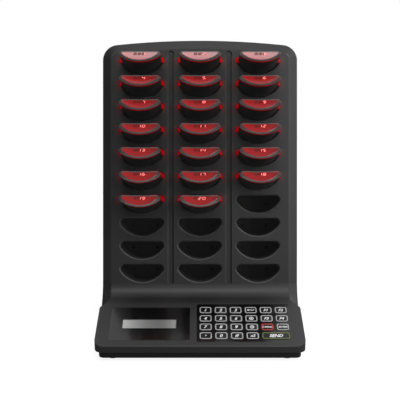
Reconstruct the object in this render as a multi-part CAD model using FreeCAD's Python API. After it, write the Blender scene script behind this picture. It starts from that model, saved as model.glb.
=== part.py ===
import FreeCAD, Part
import math
import os

# Guest pager charging dock: a leaning tower with thirty D-shaped pockets in three
# columns, twenty pagers standing in them, and a sloping deck with a display and keys.
# Millimetres, +Z up. The front edge of the deck faces -Y. The origin is under the
# middle of the whole box, on the surface that the dock stands on.

V = FreeCAD.Vector

# --- overall body ---------------------------------------------------------------
WIDTH = 214.8            # side wall to side wall
DEPTH = 206.0            # deck front edge to the rear wall
LEAN = 15.0              # degrees the tower face leans back from upright
DECK_SLOPE = 19.7        # degrees the deck falls towards the front
DECK_LENGTH = 82.5       # deck front edge to the line where deck and face planes meet
FACE_LENGTH = 276.5      # that line to the crown of the tower, along the face
FRONT_EDGE_Z = 19.5      # height of the deck's front edge
WALL = 2.5               # moulded wall of the shells
ARCH_R = 882.0           # radius of the arched top
TOP_CORNER_R = 17.0      # rounded upper corners of the tower
BEVEL_W = 9.8            # width of the bevel round the tower face
BEVEL_D = 5.0            # how far the bevel falls back
NECK_R = 17.0            # hollow between face and deck
EDGE_R = 1.6             # rounded front edge of the deck
PLAN_FRONT_R = 9.0       # upright front corners, seen from above
PLAN_REAR_R = 3.0        # upright rear corners, seen from above

# --- hollow that ends the bevel on the deck ----------------------------------------
SCOOP_START = 10.0       # where its outer curve leaves the tower, up the face
SCOOP_INNER_END = 14.0   # where it ends on the deck beside the flat panel
SCOOP_OUTER_END = 27.5   # where it ends on the deck at the side wall
SCOOP_HEIGHT = 40.0      # how high the cutter stands over face and deck
SCOOP_TURN_SHARE = 0.75  # of both wall shifts together, where the wall turns
DECK_REACH = 20.0        # how far the deck's solid runs on behind the tower face

# --- grooves between the columns ---------------------------------------------------
GROOVE_W = 6.6
GROOVE_DEPTH = 1.5
GROOVE_END_R = 3.2       # rounded ends
GROOVE_LOW = 7.3         # lower end, up the face
GROOVE_TOP_GAP = 2.5     # upper end, below the edge of the flat face

# --- pocket grid -------------------------------------------------------------------
COLUMNS = 3
ROWS = 10
SIDE_MARGIN = 19.7       # outer pockets to the side walls
CROWN_MARGIN = 18.6      # top pockets to the crown of the tower
COLUMN_WEB = 16.0        # left between neighbouring pockets
ROW_WEB = 5.9            # left between a pocket and the one below
LOWEST_TOP = 29.3        # top edge of the lowest pocket, up the face
POCKET_CORNER = 4.8
POCKET_LIP = 1.0         # chamfer that widens the mouth
REAR_ROOM = 3.8          # rear cover to the board behind the top cups
CUP_WALL = 1.4

# --- pagers ------------------------------------------------------------------------
PAGER_COUNT = 20
PAGER_SIDE_GAP = 1.9     # clearance to each side wall of the pocket
PAGER_TOP_GAP = 0.3      # clearance above and below
PAGER_SEAT_GAP = 0.3     # rear end to the tips of the charging contacts
PAGER_REACH = 30.5       # how far the top edge stands out of the face
PAGER_NECK = 2.0         # where the underside begins to taper, in front of the face
LENS_TILT = 35.0         # degrees the lens leans back
LENS_UNDER = 4.1         # how much lower the case is than the lens end
LENS_CORNER = 4.2
LENS_RIM = 1.1           # rim of the case left round the lens
LENS_THICK = 1.6
LENS_PROUD = 0.2
LENS_FIT = 0.1
PAGER_WALL = 2.4
PAGER_BOARD_THICK = 1.2
PAGER_BOARD_REST = 1.5   # clearance between board, cell and case
PAGER_CHEEK = 8.0        # each side of the hollow that holds board and cell
PAGER_BELLY = 7.2        # rounded underside below the hollow
PAGER_NOSE = 7.2         # solid end in front of the hollow
CELL_SIDE = 0.5          # clearance beside the cell
CELL_UNDER = 1.7         # clearance under the cell
CELL_FRONT = 32.5        # from the front of the hollow back to the cell
MOTOR_SIDE = 8.5         # from each side of the hollow to the motor
CHARGE_PAD_W = 5.0
CHARGE_PAD_H = 3.0
CHARGE_PAD_THICK = 0.6

# --- charging parts ----------------------------------------------------------------
CONTACT_SPREAD = 14.0    # contact centre to the middle of its cup
CONTACT_W = 2.6
CONTACT_H = 2.0
CONTACT_STAND = 1.2      # how far a contact stands into its cup
CONTACT_FIT = 0.15
BOARD_THICK = 1.6
BOARD_MARGIN = 3.0       # board edge beyond the outermost cups

# --- keypad ------------------------------------------------------------------------
KEY_COLUMNS = 6
KEY_ROWS = 4
KEY_WEB_U = 2.8          # left between neighbouring keys
KEY_WEB_S = 2.5
KEY_LEFT = 2.7           # outer keys to the panel's left edge
KEY_RIGHT = 3.0
KEY_TOP = 4.8
KEY_BOTTOM = 3.4
KEY_CORNER = 2.6
KEY_GAP = 0.2            # key to its aperture
KEY_PROUD = 0.6          # key above the deck panel
KEY_DROP = 3.4           # key below the deck panel
KEY_TRAVEL = 0.4
KEY_EDGE = 0.3           # chamfer round the key top
KEY_NAMES = (
    "1", "2", "3", "setup", "f1", "f2",
    "4", "5", "6", "up", "f3", "f4",
    "7", "8", "9", "down", "cancel", "enter",
    "star", "0", "hash", "repeat", "send",
)
DOME_GAP = 0.1           # left under a key that is pressed fully
DOME_HALF = 3.0          # half width of a dome at its foot
DOME_TIP_HALF = 1.6
DOME_H = 1.0
MAT_THICK = 0.8
MAT_MARGIN = 2.0

# --- deck panels -------------------------------------------------------------------
KEYPAD_LEFT = -3.4       # from the middle of the deck
KEYPAD_TOP = 20.9        # from the line where deck and face meet
KEYPAD_SIDE = 11.9       # right edge to the side wall
KEYPAD_FRONT = 5.9       # lower edge to the deck's front edge
DISPLAY_RIGHT = -10.6
DISPLAY_TOP = 26.2
DISPLAY_SIDE = 13.2
DISPLAY_FRONT = 8.3
WINDOW_FRAME_LEFT = 13.7
WINDOW_FRAME_RIGHT = 14.3
WINDOW_FRAME_TOP = 0.365     # shares of the display panel's height
WINDOW_FRAME_BOTTOM = 0.358
PANEL_CORNER = 2.0
PANEL_THICK = 1.0
PANEL_FIT = 0.1
PANEL_LEDGE = 2.4        # ledge of the deck under each panel's edge
WINDOW_RECESS = 0.3      # clear window below the display panel's surface
WINDOW_FIT = 0.1
LCD_MARGIN_U = 6.0
LCD_MARGIN_S = 4.5
LCD_SEAT_GAP = 0.1

# --- boards under the deck -----------------------------------------------------------
MAIN_BOARD_SIDE = 15.4   # to each side wall
MAIN_BOARD_TOP = 24.0
MAIN_BOARD_FRONT = 10.5  # to the deck's front edge
RADIO_W = 34.0
RADIO_L = 22.0
RADIO_THICK = 3.0
RADIO_SIDE = 32.0        # middle of the radio module to the main board's edge
RADIO_TOP = 10.0
RADIO_GAP = 0.1

# --- bottom cover, feet, rear cover ---------------------------------------------------
SHELL_Z = 12.3           # lower edge of the front housing
BASE_Z = 4.6             # underside of the bottom cover
BASE_INSET = 4.0
BASE_CORNER_R = 6.0
FLANGE_THICK = 2.4
COVER_FIT = 0.3          # covers to the housing walls
FOOT_R = 9.0
FOOT_TIP_R = 7.0
FOOT_SIDE = 17.6         # middle of each foot to the side wall
FOOT_FRONT_Y = 19.0      # middle of the front feet, behind the deck's front edge
FOOT_REAR = 20.0         # middle of the rear feet to the rear edge
FOOT_SEAT = 1.0          # depth of the pocket that holds each foot
FOOT_FIT = 0.1
FOOT_SHOULDER_Z = 1.5    # height of the cone at each foot's tip
REAR_COVER_THICK = 2.5
REAR_RECESS = 1.2        # rear cover behind the housing's rear edge
BOSS_R = 4.0
BOSS_WEB = 3.5           # web that ties each boss to the side wall
BOSS_WEB_THICK = 2.0
REAR_BOSS_LENGTH = 16.0
REAR_BOSS_LOW = 29.7     # lowest rear screws above the housing's lower edge
REAR_BOSS_HIGH = 17.0    # highest rear screws below the crown at the rear
BASE_BOSS_LENGTH = 12.0
BASE_BOSS_FRONT_Y = 60.0
BASE_BOSS_REAR = 38.0    # rear pair of base screws to the rear edge
SCREW_REACH = 5.0        # how far a base screw reaches into its boss
SCREW_R = 1.5
SCREW_HEAD_R = 3.0
SCREW_HEAD_H = 1.4
SCREW_LENGTH = 9.0
SCREW_FIT = 0.15

# --- power inlet ---------------------------------------------------------------------
INLET_SIDE = 37.4        # middle of the inlet to the side wall
INLET_UP = 17.7          # and to the housing's lower edge
INLET_W = 14.0
INLET_H = 11.0
INLET_L = 14.0
INLET_BORE_R = 3.2
INLET_BORE_L = 10.0
INLET_PIN_R = 1.0
INLET_COLLAR_R = 5.0
INLET_ROOT = 1.0         # overlap of the collar and the pin with the body
INLET_PIN_GAP = 1.0      # pin's tip behind the collar's face
INLET_FIT = 0.15

# --- values that follow ----------------------------------------------------------------
HALF = WIDTH / 2
COS_DECK = math.cos(math.radians(DECK_SLOPE))
SIN_DECK = math.sin(math.radians(DECK_SLOPE))
COS_LEAN = math.cos(math.radians(LEAN))
SIN_LEAN = math.sin(math.radians(LEAN))
CORNER_Y = DECK_LENGTH * COS_DECK
CORNER_Z = FRONT_EDGE_Z + DECK_LENGTH * SIN_DECK
FAR = 400.0
SAME = 0.001             # two heights closer than this are one

# Face frame: u to the right, v up the face, w out of it. Deck frame: u to the right,
# v up the deck towards the tower, w out of it. Both start where the planes meet.
CORNER = V(0, CORNER_Y, CORNER_Z)
FACE = FreeCAD.Placement(CORNER, FreeCAD.Rotation(V(1, 0, 0), 90.0 - LEAN))
DECK = FreeCAD.Placement(CORNER, FreeCAD.Rotation(V(1, 0, 0), DECK_SLOPE))
CENTRE = FreeCAD.Placement(V(0, -DEPTH / 2, 0), FreeCAD.Rotation())

TURN = math.radians(90.0 - LEAN - DECK_SLOPE)
FLAT_HALF = HALF - BEVEL_W
INTO_FACE = FACE.Rotation.multVec(V(0, 0, -WALL)) + V(-WALL / 2, 0, 0)
INTO_DECK = DECK.Rotation.multVec(V(0, 0, -WALL)) + V(-WALL / 2, 0, 0)
SCOOP_SHIFTS = (INTO_FACE, INTO_DECK, (INTO_FACE + INTO_DECK) * SCOOP_TURN_SHARE)

COLUMN_PITCH = (WIDTH - 2 * SIDE_MARGIN + COLUMN_WEB) / COLUMNS
ROW_PITCH = (FACE_LENGTH - CROWN_MARGIN - LOWEST_TOP) / (ROWS - 1)
POCKET_W = COLUMN_PITCH - COLUMN_WEB
POCKET_H = ROW_PITCH - ROW_WEB
COVER_FRONT_Y = DEPTH - REAR_RECESS - REAR_COVER_THICK
CUPS_TOP_Y = CORNER_Y + (FACE_LENGTH - CROWN_MARGIN + CUP_WALL) * SIN_LEAN
POCKET_BACK = BOARD_THICK - (COVER_FRONT_Y - REAR_ROOM - CUPS_TOP_Y) / COS_LEAN
PAGER_W = POCKET_W - 2 * PAGER_SIDE_GAP
PAGER_H = POCKET_H - 2 * PAGER_TOP_GAP
PAGER_CORNER = POCKET_CORNER - PAGER_TOP_GAP
PAGER_REAR = POCKET_BACK + CUP_WALL + CONTACT_STAND + PAGER_SEAT_GAP
PAGER_ROOM_FRONT = PAGER_REACH - PAGER_NOSE
PAGER_ROOM_TOP = -PAGER_TOP_GAP - PAGER_WALL
PAGER_ROOM_H = PAGER_H - PAGER_WALL - PAGER_BELLY
PAGER_ROOM_LOW = PAGER_ROOM_TOP - PAGER_ROOM_H
PAGER_ROOM_W = PAGER_W - 2 * PAGER_CHEEK
CELL_W = PAGER_ROOM_W - 2 * CELL_SIDE
CELL_H = PAGER_ROOM_H - PAGER_BOARD_REST - PAGER_BOARD_THICK - LENS_FIT - CELL_UNDER
CELL_LENGTH = PAGER_ROOM_FRONT - CELL_FRONT - PAGER_REAR - PAGER_WALL
MOTOR_R = CELL_H / 2
MOTOR_LENGTH = PAGER_ROOM_W - 2 * MOTOR_SIDE
LENS_HEIGHT = PAGER_H - LENS_UNDER
LENS_SEAT = LENS_THICK - LENS_PROUD + LENS_FIT
LENS_PLANE = FreeCAD.Placement(V(0, -PAGER_TOP_GAP, PAGER_REACH),
                               FreeCAD.Rotation(V(1, 0, 0), -LENS_TILT))
LENS_OUT = LENS_PLANE.Rotation.multVec(V(0, 0, 1))

# Chin frame: from the lens's lowest point, along the pager's slanting underside.
CHIN_TIP = LENS_PLANE.multVec(V(0, -LENS_HEIGHT, 0))
CHIN_RISE = CHIN_TIP.y + PAGER_TOP_GAP + PAGER_H
CHIN_SLOPE = math.degrees(math.atan2(CHIN_RISE, CHIN_TIP.z - PAGER_NECK))
CHIN = FreeCAD.Placement(CHIN_TIP, FreeCAD.Rotation(V(1, 0, 0), -CHIN_SLOPE))
CHIN_SHARE = math.cos(math.radians(LENS_TILT - CHIN_SLOPE))
NOSE_ROOM = 2 * PAGER_H
NOSE_LENGTH = NOSE_ROOM + CHIN_TIP.z - PAGER_REAR

KEYPAD_RIGHT = HALF - KEYPAD_SIDE
KEYPAD_BOTTOM = DECK_LENGTH - KEYPAD_FRONT
KEYS_WIDE = KEYPAD_RIGHT - KEYPAD_LEFT - KEY_LEFT - KEY_RIGHT
KEYS_HIGH = KEYPAD_BOTTOM - KEYPAD_TOP - KEY_TOP - KEY_BOTTOM
KEY_PITCH_U = (KEYS_WIDE + KEY_WEB_U) / KEY_COLUMNS
KEY_PITCH_S = (KEYS_HIGH + KEY_WEB_S) / KEY_ROWS
KEY_W = KEY_PITCH_U - KEY_WEB_U
KEY_H = KEY_PITCH_S - KEY_WEB_S
KEY_FIRST_U = KEYPAD_LEFT + KEY_LEFT + KEY_W / 2
KEY_FIRST_S = KEYPAD_TOP + KEY_TOP + KEY_H / 2
DISPLAY_LEFT = DISPLAY_SIDE - HALF
DISPLAY_BOTTOM = DECK_LENGTH - DISPLAY_FRONT
DISPLAY_HEIGHT = DISPLAY_BOTTOM - DISPLAY_TOP
WINDOW_LEFT = DISPLAY_LEFT + WINDOW_FRAME_LEFT
WINDOW_RIGHT = DISPLAY_RIGHT - WINDOW_FRAME_RIGHT
WINDOW_TOP = DISPLAY_TOP + WINDOW_FRAME_TOP * DISPLAY_HEIGHT
WINDOW_BOTTOM = DISPLAY_BOTTOM - WINDOW_FRAME_BOTTOM * DISPLAY_HEIGHT
MAIN_BOARD_U = HALF - MAIN_BOARD_SIDE
MAIN_BOARD_BOTTOM = DECK_LENGTH - MAIN_BOARD_FRONT
RADIO_CENTRE_U = RADIO_SIDE - MAIN_BOARD_U
RADIO_CENTRE_S = MAIN_BOARD_TOP + RADIO_TOP
DISPLAY_EDGES = (DISPLAY_LEFT, DISPLAY_RIGHT, DISPLAY_TOP, DISPLAY_BOTTOM)
KEYPAD_EDGES = (KEYPAD_LEFT, KEYPAD_RIGHT, KEYPAD_TOP, KEYPAD_BOTTOM)
MAT_TOP = -KEY_DROP - KEY_TRAVEL - DOME_GAP - DOME_H

FLANGE_TOP = SHELL_Z + FLANGE_THICK
FOOT_X = HALF - FOOT_SIDE
FOOT_REAR_Y = DEPTH - FOOT_REAR
BASE_BOSS_REAR_Y = DEPTH - BASE_BOSS_REAR
INLET_X = INLET_SIDE - HALF
INLET_Z = SHELL_Z + INLET_UP
REAR_W = (CORNER_Y + FACE_LENGTH * SIN_LEAN - COVER_FRONT_Y) / COS_LEAN
REAR_CROWN_Z = FACE.multVec(V(0, FACE_LENGTH, REAR_W)).z
REAR_LOW_Z = SHELL_Z + REAR_BOSS_LOW
REAR_HIGH_Z = REAR_CROWN_Z - REAR_BOSS_HIGH
REAR_BOSS_Z = (REAR_LOW_Z, (REAR_LOW_Z + REAR_HIGH_Z) / 2, REAR_HIGH_Z)
BOSS_X = HALF - WALL - BOSS_R - BOSS_WEB
BASE_HEAD_Z = BASE_Z + SCREW_HEAD_H + SCREW_FIT
REAR_HEAD_H = REAR_RECESS - SCREW_FIT


def line(a, b):
    return Part.LineSegment(a, b).toShape()


def arc(a, middle, b):
    return Part.Arc(a, middle, b).toShape()


def place(shape, frame):
    moved = shape.copy()
    moved.Placement = frame.multiply(moved.Placement)
    return moved


def box(u0, u1, v0, v1, w0, w1):
    return Part.makeBox(u1 - u0, v1 - v0, w1 - w0, V(u0, v0, w0))


def mirrored(shape):
    return shape.mirror(V(0, 0, 0), V(1, 0, 0))


def rounded_wire(u0, u1, v0, v1, r, w):
    """Rectangle with rounded corners in the plane w."""
    k = r * (1 - math.sqrt(0.5))
    points = [
        (u0 + r, v0), (u1 - r, v0), (u1 - k, v0 + k), (u1, v0 + r),
        (u1, v1 - r), (u1 - k, v1 - k), (u1 - r, v1),
        (u0 + r, v1), (u0 + k, v1 - k), (u0, v1 - r),
        (u0, v0 + r), (u0 + k, v0 + k),
    ]
    p = [V(u, v, w) for u, v in points]
    return Part.Wire([
        line(p[0], p[1]), arc(p[1], p[2], p[3]), line(p[3], p[4]), arc(p[4], p[5], p[6]),
        line(p[6], p[7]), arc(p[7], p[8], p[9]), line(p[9], p[10]), arc(p[10], p[11], p[0]),
    ])


def rounded_slab(u0, u1, v0, v1, r, w0, w1):
    return Part.Face(rounded_wire(u0, u1, v0, v1, r, w0)).extrude(V(0, 0, w1 - w0))


def arc_about(centre, r, start, end):
    """Short way round a centre from start to end."""
    middle = (start + end) * 0.5 - centre
    middle.normalize()
    return arc(start, centre + middle * r, end)


def d_points(width, height, corner, grow, w):
    """Right half of a D lying on its back: top, side, lower end of the shoulder, bottom."""
    a = width / 2 + grow
    r = corner + grow
    h = height + 2 * grow
    big = ((a - r) ** 2 + (h - r) ** 2 - r ** 2) / (2 * (h - 2 * r))
    centre = V(0, grow - h + big, w)
    shoulder = V(a - r, grow - r, w)
    low = centre + (shoulder - centre) * (big / (big - r))
    return V(a - r, grow, w), V(a, grow - r, w), low, V(0, grow - h, w)


def flipped(point):
    return V(-point.x, point.y, point.z)


def d_wire(width, height, corner, grow, w):
    """D lying on its back: a flat top at v=grow, rounded shoulders, one deep lower arc."""
    top, side, low, bottom = d_points(width, height, corner, grow, w)
    return Part.Wire([
        line(flipped(top), top),
        arc(top, side, low),
        arc(low, bottom, flipped(low)),
        arc(flipped(low), flipped(side), flipped(top)),
    ])


def d_prism(width, height, corner, grow, w0, w1):
    return Part.Face(d_wire(width, height, corner, grow, w0)).extrude(V(0, 0, w1 - w0))


def tower_wire(inset, w):
    """Front outline of the tower: upright sides, rounded shoulders, arched top."""
    a = HALF - inset
    r = TOP_CORNER_R - min(inset, BEVEL_W)
    big = ARCH_R - inset
    crown = FACE_LENGTH - inset
    low = -CORNER_Z
    arch = V(0, crown - big, w)
    rise = math.sqrt((big - r) ** 2 - (a - r) ** 2)
    right = arch + V(a - r, rise, 0)
    left = arch + V(r - a, rise, 0)
    reach = big / (big - r)
    right_top = arch + (right - arch) * reach
    left_top = arch + (left - arch) * reach
    right_side = right + V(r, 0, 0)
    left_side = left - V(r, 0, 0)
    return Part.Wire([
        line(V(-a, low, w), V(a, low, w)),
        line(V(a, low, w), right_side),
        arc_about(right, r, right_side, right_top),
        arc(right_top, V(0, crown, w), left_top),
        arc_about(left, r, left_top, left_side),
        line(left_side, V(-a, low, w)),
    ])


def tower_block(skin):
    """Tower with its bevel, drawn in by skin on every side, running far behind."""
    front = tower_wire(BEVEL_W + skin, -skin)
    shoulder = tower_wire(skin, -skin - BEVEL_D)
    bevel = Part.makeLoft([front, shoulder], True, True)
    body = Part.Face(shoulder).extrude(V(0, 0, -FAR))
    return place(bevel.fuse(body), FACE)


def deck_profile(skin, neck):
    """Side view of the deck, drawn in by skin, with a hollow of radius neck to the face."""
    reach = (neck - skin) * math.tan(TURN / 2)
    low = -FAR / 4
    up_face = FACE.multVec(V(0, reach, -skin))
    up_back = FACE.multVec(V(0, reach, -skin - DECK_REACH))
    on_deck = DECK.multVec(V(0, -reach, -skin))
    neck_centre = DECK.multVec(V(0, -reach, neck - skin))
    edge_y = skin + EDGE_R
    edge_z = CORNER_Z + (edge_y - CORNER_Y) * SIN_DECK / COS_DECK - (skin + EDGE_R) / COS_DECK
    edge_centre = V(0, edge_y, edge_z)
    edge_front = V(0, skin, edge_z)
    edge_top = edge_centre + V(0, -EDGE_R * SIN_DECK, EDGE_R * COS_DECK)
    return Part.Wire([
        line(V(0, skin, low), edge_front),
        arc_about(edge_centre, EDGE_R, edge_front, edge_top),
        line(edge_top, on_deck),
        arc_about(neck_centre, neck, on_deck, up_face),
        line(up_face, up_back),
        line(up_back, V(0, up_back.y, low)),
        line(V(0, up_back.y, low), V(0, skin, low)),
    ])


def deck_block(skin):
    """Sloping deck, wider than the housing, to be cut to its plan."""
    profile = deck_profile(skin, NECK_R + skin)
    profile.translate(V(-WIDTH, 0, 0))
    return Part.Face(profile).extrude(V(2 * WIDTH, 0, 0))


def plan_block(skin, front_r, rear_r, z0, z1):
    """Everything inside the housing's outline seen from above."""
    u0 = skin - HALF
    v1 = DEPTH - skin
    front = rounded_slab(u0, -u0, skin, v1, front_r, z0, z1)
    rear = rounded_slab(u0, -u0, v1 / 2, v1, rear_r, z0, z1)
    return front.fuse(rear).removeSplitter()


def scoop_point(angle, radius):
    """Point of the scoop's outer curve, which leaves the tower's bevelled edge."""
    up = SCOOP_START - radius * math.sin(angle)
    out = radius * (1 - math.cos(angle)) - BEVEL_D
    return FACE.multVec(V(0, up, out))


def scoop_cutter():
    """Material removed where the tower's bevel sweeps forward and dies out on the deck."""
    reach = NECK_R * math.tan(TURN / 2)
    drop = SCOOP_START + SCOOP_OUTER_END * math.sin(TURN)
    forward = BEVEL_D + SCOOP_OUTER_END * math.cos(TURN)
    radius = (drop ** 2 + forward ** 2) / (2 * forward)
    whole = math.atan2(drop, radius - forward)
    share = NECK_R * TURN / (NECK_R * TURN + SCOOP_INNER_END - reach)

    inner = [
        FACE.multVec(V(0, reach, 0)),
        DECK.multVec(V(0, -reach, NECK_R)),
        DECK.multVec(V(0, -reach, 0)),
        DECK.multVec(V(0, -SCOOP_INNER_END, 0)),
        DECK.multVec(V(0, -SCOOP_INNER_END, SCOOP_HEIGHT)),
        FACE.multVec(V(0, reach, SCOOP_HEIGHT)),
    ]
    outer = [
        scoop_point(0, radius),
        scoop_point(whole * share / 2, radius),
        scoop_point(whole * share, radius),
        scoop_point(whole * (1 + share) / 2, radius),
        scoop_point(whole, radius),
        DECK.multVec(V(0, -SCOOP_OUTER_END, SCOOP_HEIGHT)),
        FACE.multVec(V(0, SCOOP_START, SCOOP_HEIGHT)),
    ]
    inner_wire = Part.Wire([
        arc_about(inner[1], NECK_R, inner[0], inner[2]), line(inner[2], inner[3]),
        line(inner[3], inner[4]), line(inner[4], inner[5]), line(inner[5], inner[0]),
    ])
    outer_wire = Part.Wire([
        arc(outer[0], outer[1], outer[2]), arc(outer[2], outer[3], outer[4]),
        line(outer[4], outer[5]), line(outer[5], outer[6]), line(outer[6], outer[0]),
    ])
    inner_wire.translate(V(FLAT_HALF, 0, 0))
    outer_wire.translate(V(HALF, 0, 0))
    sweep = Part.makeLoft([inner_wire, outer_wire], True, True)
    beyond = Part.Face(outer_wire).extrude(V(BEVEL_W, 0, 0))
    return sweep.fuse(beyond)


def pocket_places():
    """Middle and top edge of every pocket, left to right and top to bottom."""
    places = []
    for row in range(ROWS):
        for column in range(COLUMNS):
            u = (column - (COLUMNS - 1) / 2) * COLUMN_PITCH
            v = LOWEST_TOP + (ROWS - 1 - row) * ROW_PITCH
            places.append((u, v))
    return places


def edges_at(shape, w):
    """Edges of a shape that lie in the plane w."""
    def lies_there(edge):
        return all(abs(vertex.Z - w) < SAME for vertex in edge.Vertexes)

    return [edge for edge in shape.Edges if lies_there(edge)]


def pocket_mouth():
    """Cutter for one pocket in the face: a chamfered lip round the cup's bore."""
    lip = d_prism(POCKET_W, POCKET_H, POCKET_CORNER, POCKET_LIP, -POCKET_LIP, POCKET_LIP)
    lip = lip.makeChamfer(POCKET_LIP, edges_at(lip, -POCKET_LIP))
    throat = d_prism(POCKET_W, POCKET_H, POCKET_CORNER, 0, -WALL, 0)
    return lip.fuse(throat)


def groove_cutter(u):
    top = FACE_LENGTH - BEVEL_W - GROOVE_TOP_GAP
    half = GROOVE_W / 2
    return rounded_slab(u - half, u + half, GROOVE_LOW, top, GROOVE_END_R, -GROOVE_DEPTH, WALL)


def panel_recess(left, right, top, bottom):
    """Shallow seat for a deck panel, with an opening inside its ledge."""
    seat = rounded_slab(left, right, -bottom, -top, PANEL_CORNER, -PANEL_THICK, WALL)
    opening = box(left + PANEL_LEDGE, right - PANEL_LEDGE, PANEL_LEDGE - bottom,
                  -top - PANEL_LEDGE, -2 * WALL, WALL)
    return seat.fuse(opening)


def rear_screw_places():
    return [(side * BOSS_X, z) for side in (-1, 1) for z in REAR_BOSS_Z]


def base_screw_places():
    return [(side * BOSS_X, y) for side in (-1, 1) for y in (BASE_BOSS_FRONT_Y, BASE_BOSS_REAR_Y)]


def rear_pin(x, z, r, y0, y1):
    return Part.makeCylinder(r, y1 - y0, V(x, y0, z), V(0, 1, 0))


def web(x, y0, y1, z0, z1):
    """Flat web from a screw boss at x to the side wall beside it."""
    wall = math.copysign(HALF - WALL / 2, x)
    return box(min(x, wall), max(x, wall), y0, y1, z0, z1)


def base_pin(x, y, r, z0, z1):
    return Part.makeCylinder(r, z1 - z0, V(x, y, z0))


def front_housing():
    """Tower, deck, top and side walls in one moulding, open behind and below."""
    outer = tower_block(0).fuse(deck_block(0))
    outer = outer.common(plan_block(0, PLAN_FRONT_R, PLAN_REAR_R, SHELL_Z, FAR))
    scoop = scoop_cutter()
    outer = outer.cut([scoop, mirrored(scoop)])

    inside = tower_block(WALL).fuse(deck_block(WALL))
    front_r = PLAN_FRONT_R - WALL
    inside = inside.common(plan_block(WALL, front_r, PLAN_REAR_R, -FAR / 4, FAR))
    rear_opening = box(WALL - HALF, HALF - WALL, DEPTH - 2 * WALL, DEPTH + WALL, -FAR / 4, FAR)
    behind = tower_block(WALL).common(rear_opening)
    backing = []
    for shift in SCOOP_SHIFTS:
        moved = scoop.copy()
        moved.translate(shift)
        backing += [moved, mirrored(moved)]
    inside = inside.cut(backing).fuse(behind)
    shell = outer.cut(inside)

    bosses = []
    holes = []
    for x, z in rear_screw_places():
        rear_y = COVER_FRONT_Y - REAR_BOSS_LENGTH
        bosses.append(rear_pin(x, z, BOSS_R, rear_y, COVER_FRONT_Y))
        half = BOSS_WEB_THICK / 2
        bosses.append(web(x, rear_y, COVER_FRONT_Y, z - half, z + half))
        holes.append(rear_pin(x, z, SCREW_R, COVER_FRONT_Y - SCREW_LENGTH, COVER_FRONT_Y))
    for x, y in base_screw_places():
        top_z = FLANGE_TOP + BASE_BOSS_LENGTH
        half = BOSS_WEB_THICK / 2
        bosses.append(base_pin(x, y, BOSS_R, FLANGE_TOP, top_z))
        bosses.append(web(x, y - half, y + half, FLANGE_TOP, top_z))
        holes.append(base_pin(x, y, SCREW_R, FLANGE_TOP, FLANGE_TOP + SCREW_LENGTH))
    shell = shell.fuse(bosses).cut(holes)

    mouth = place(pocket_mouth(), FACE)
    cutters = []
    for u, v in pocket_places():
        cutter = mouth.copy()
        cutter.translate(FACE.Rotation.multVec(V(u, v, 0)))
        cutters.append(cutter)
    for side in (-0.5, 0.5):
        cutters.append(place(groove_cutter(side * COLUMN_PITCH), FACE))
    cutters.append(place(panel_recess(*DISPLAY_EDGES), DECK))
    cutters.append(place(panel_recess(*KEYPAD_EDGES), DECK))
    return shell.cut(cutters)


def charging_cup():
    """One moulded cell with a D-shaped bore, closed behind, with two contact windows."""
    half = POCKET_W / 2 + CUP_WALL
    cell = box(-half, half, -POCKET_H - CUP_WALL, CUP_WALL, POCKET_BACK, -WALL)
    bore = d_prism(POCKET_W, POCKET_H, POCKET_CORNER, 0, POCKET_BACK + CUP_WALL, -WALL)
    cell = cell.cut(bore)
    for side in (-1, 1):
        cell = cell.cut(contact_block(side, CONTACT_FIT, POCKET_BACK, POCKET_BACK + CUP_WALL))
    return cell


def contact_block(side, grow, w0, w1):
    u = side * CONTACT_SPREAD
    v = -POCKET_H / 2
    half_w = CONTACT_W / 2 + grow
    half_h = CONTACT_H / 2 + grow
    return box(u - half_w, u + half_w, v - half_h, v + half_h, w0, w1)


def in_every_pocket(shapes):
    """Copies of the shapes, drawn in the face frame, at every pocket."""
    copies = []
    for u, v in pocket_places():
        for shape in shapes:
            copy = place(shape, FACE)
            copy.translate(FACE.Rotation.multVec(V(u, v, 0)))
            copies.append(copy)
    return Part.makeCompound(copies)


def charging_cups():
    return in_every_pocket([charging_cup()])


def charging_contacts():
    tip = POCKET_BACK + CUP_WALL + CONTACT_STAND
    return in_every_pocket([contact_block(side, 0, POCKET_BACK, tip) for side in (-1, 1)])


def charging_board():
    """Circuit board across the backs of all the cups."""
    half = COLUMN_PITCH * (COLUMNS - 1) / 2 + POCKET_W / 2 + CUP_WALL + BOARD_MARGIN
    low = LOWEST_TOP - POCKET_H - CUP_WALL
    top = LOWEST_TOP + (ROWS - 1) * ROW_PITCH + CUP_WALL
    board = box(-half, half, low, top, POCKET_BACK - BOARD_THICK, POCKET_BACK)
    return place(board, FACE)


def lens_outline(inset, sink):
    """Outline of the lens end in the pager's leaning plane, sunk into it by sink."""
    wire = d_wire(PAGER_W - 2 * inset, LENS_HEIGHT - 2 * inset, LENS_CORNER - inset, 0, 0)
    wire.translate(V(0, -inset, -sink))
    return place(wire, LENS_PLANE)


def pager_nose():
    """All that lies above the slanting underside and behind the leaning front."""
    height = LENS_HEIGHT * CHIN_SHARE
    radius = LENS_CORNER * CHIN_SHARE
    side, low, bottom = d_points(PAGER_W, height, radius, 0, -NOSE_LENGTH)[1:]
    corner = side - V(radius, 0, 0)
    above = side + V(0, NOSE_ROOM, 0)
    outline = Part.Wire([
        line(flipped(above), above),
        line(above, side),
        arc_about(corner, radius, side, low),
        arc(low, bottom, flipped(low)),
        arc_about(flipped(corner), radius, flipped(low), flipped(side)),
        line(flipped(side), flipped(above)),
    ])
    outline.translate(V(0, height, 0))
    over_chin = Part.Face(outline).extrude(V(0, 0, NOSE_LENGTH + NOSE_ROOM))
    behind_lens = box(-PAGER_W, PAGER_W, -FAR, FAR, -FAR, 0)
    return place(over_chin, CHIN).common(place(behind_lens, LENS_PLANE))


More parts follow.
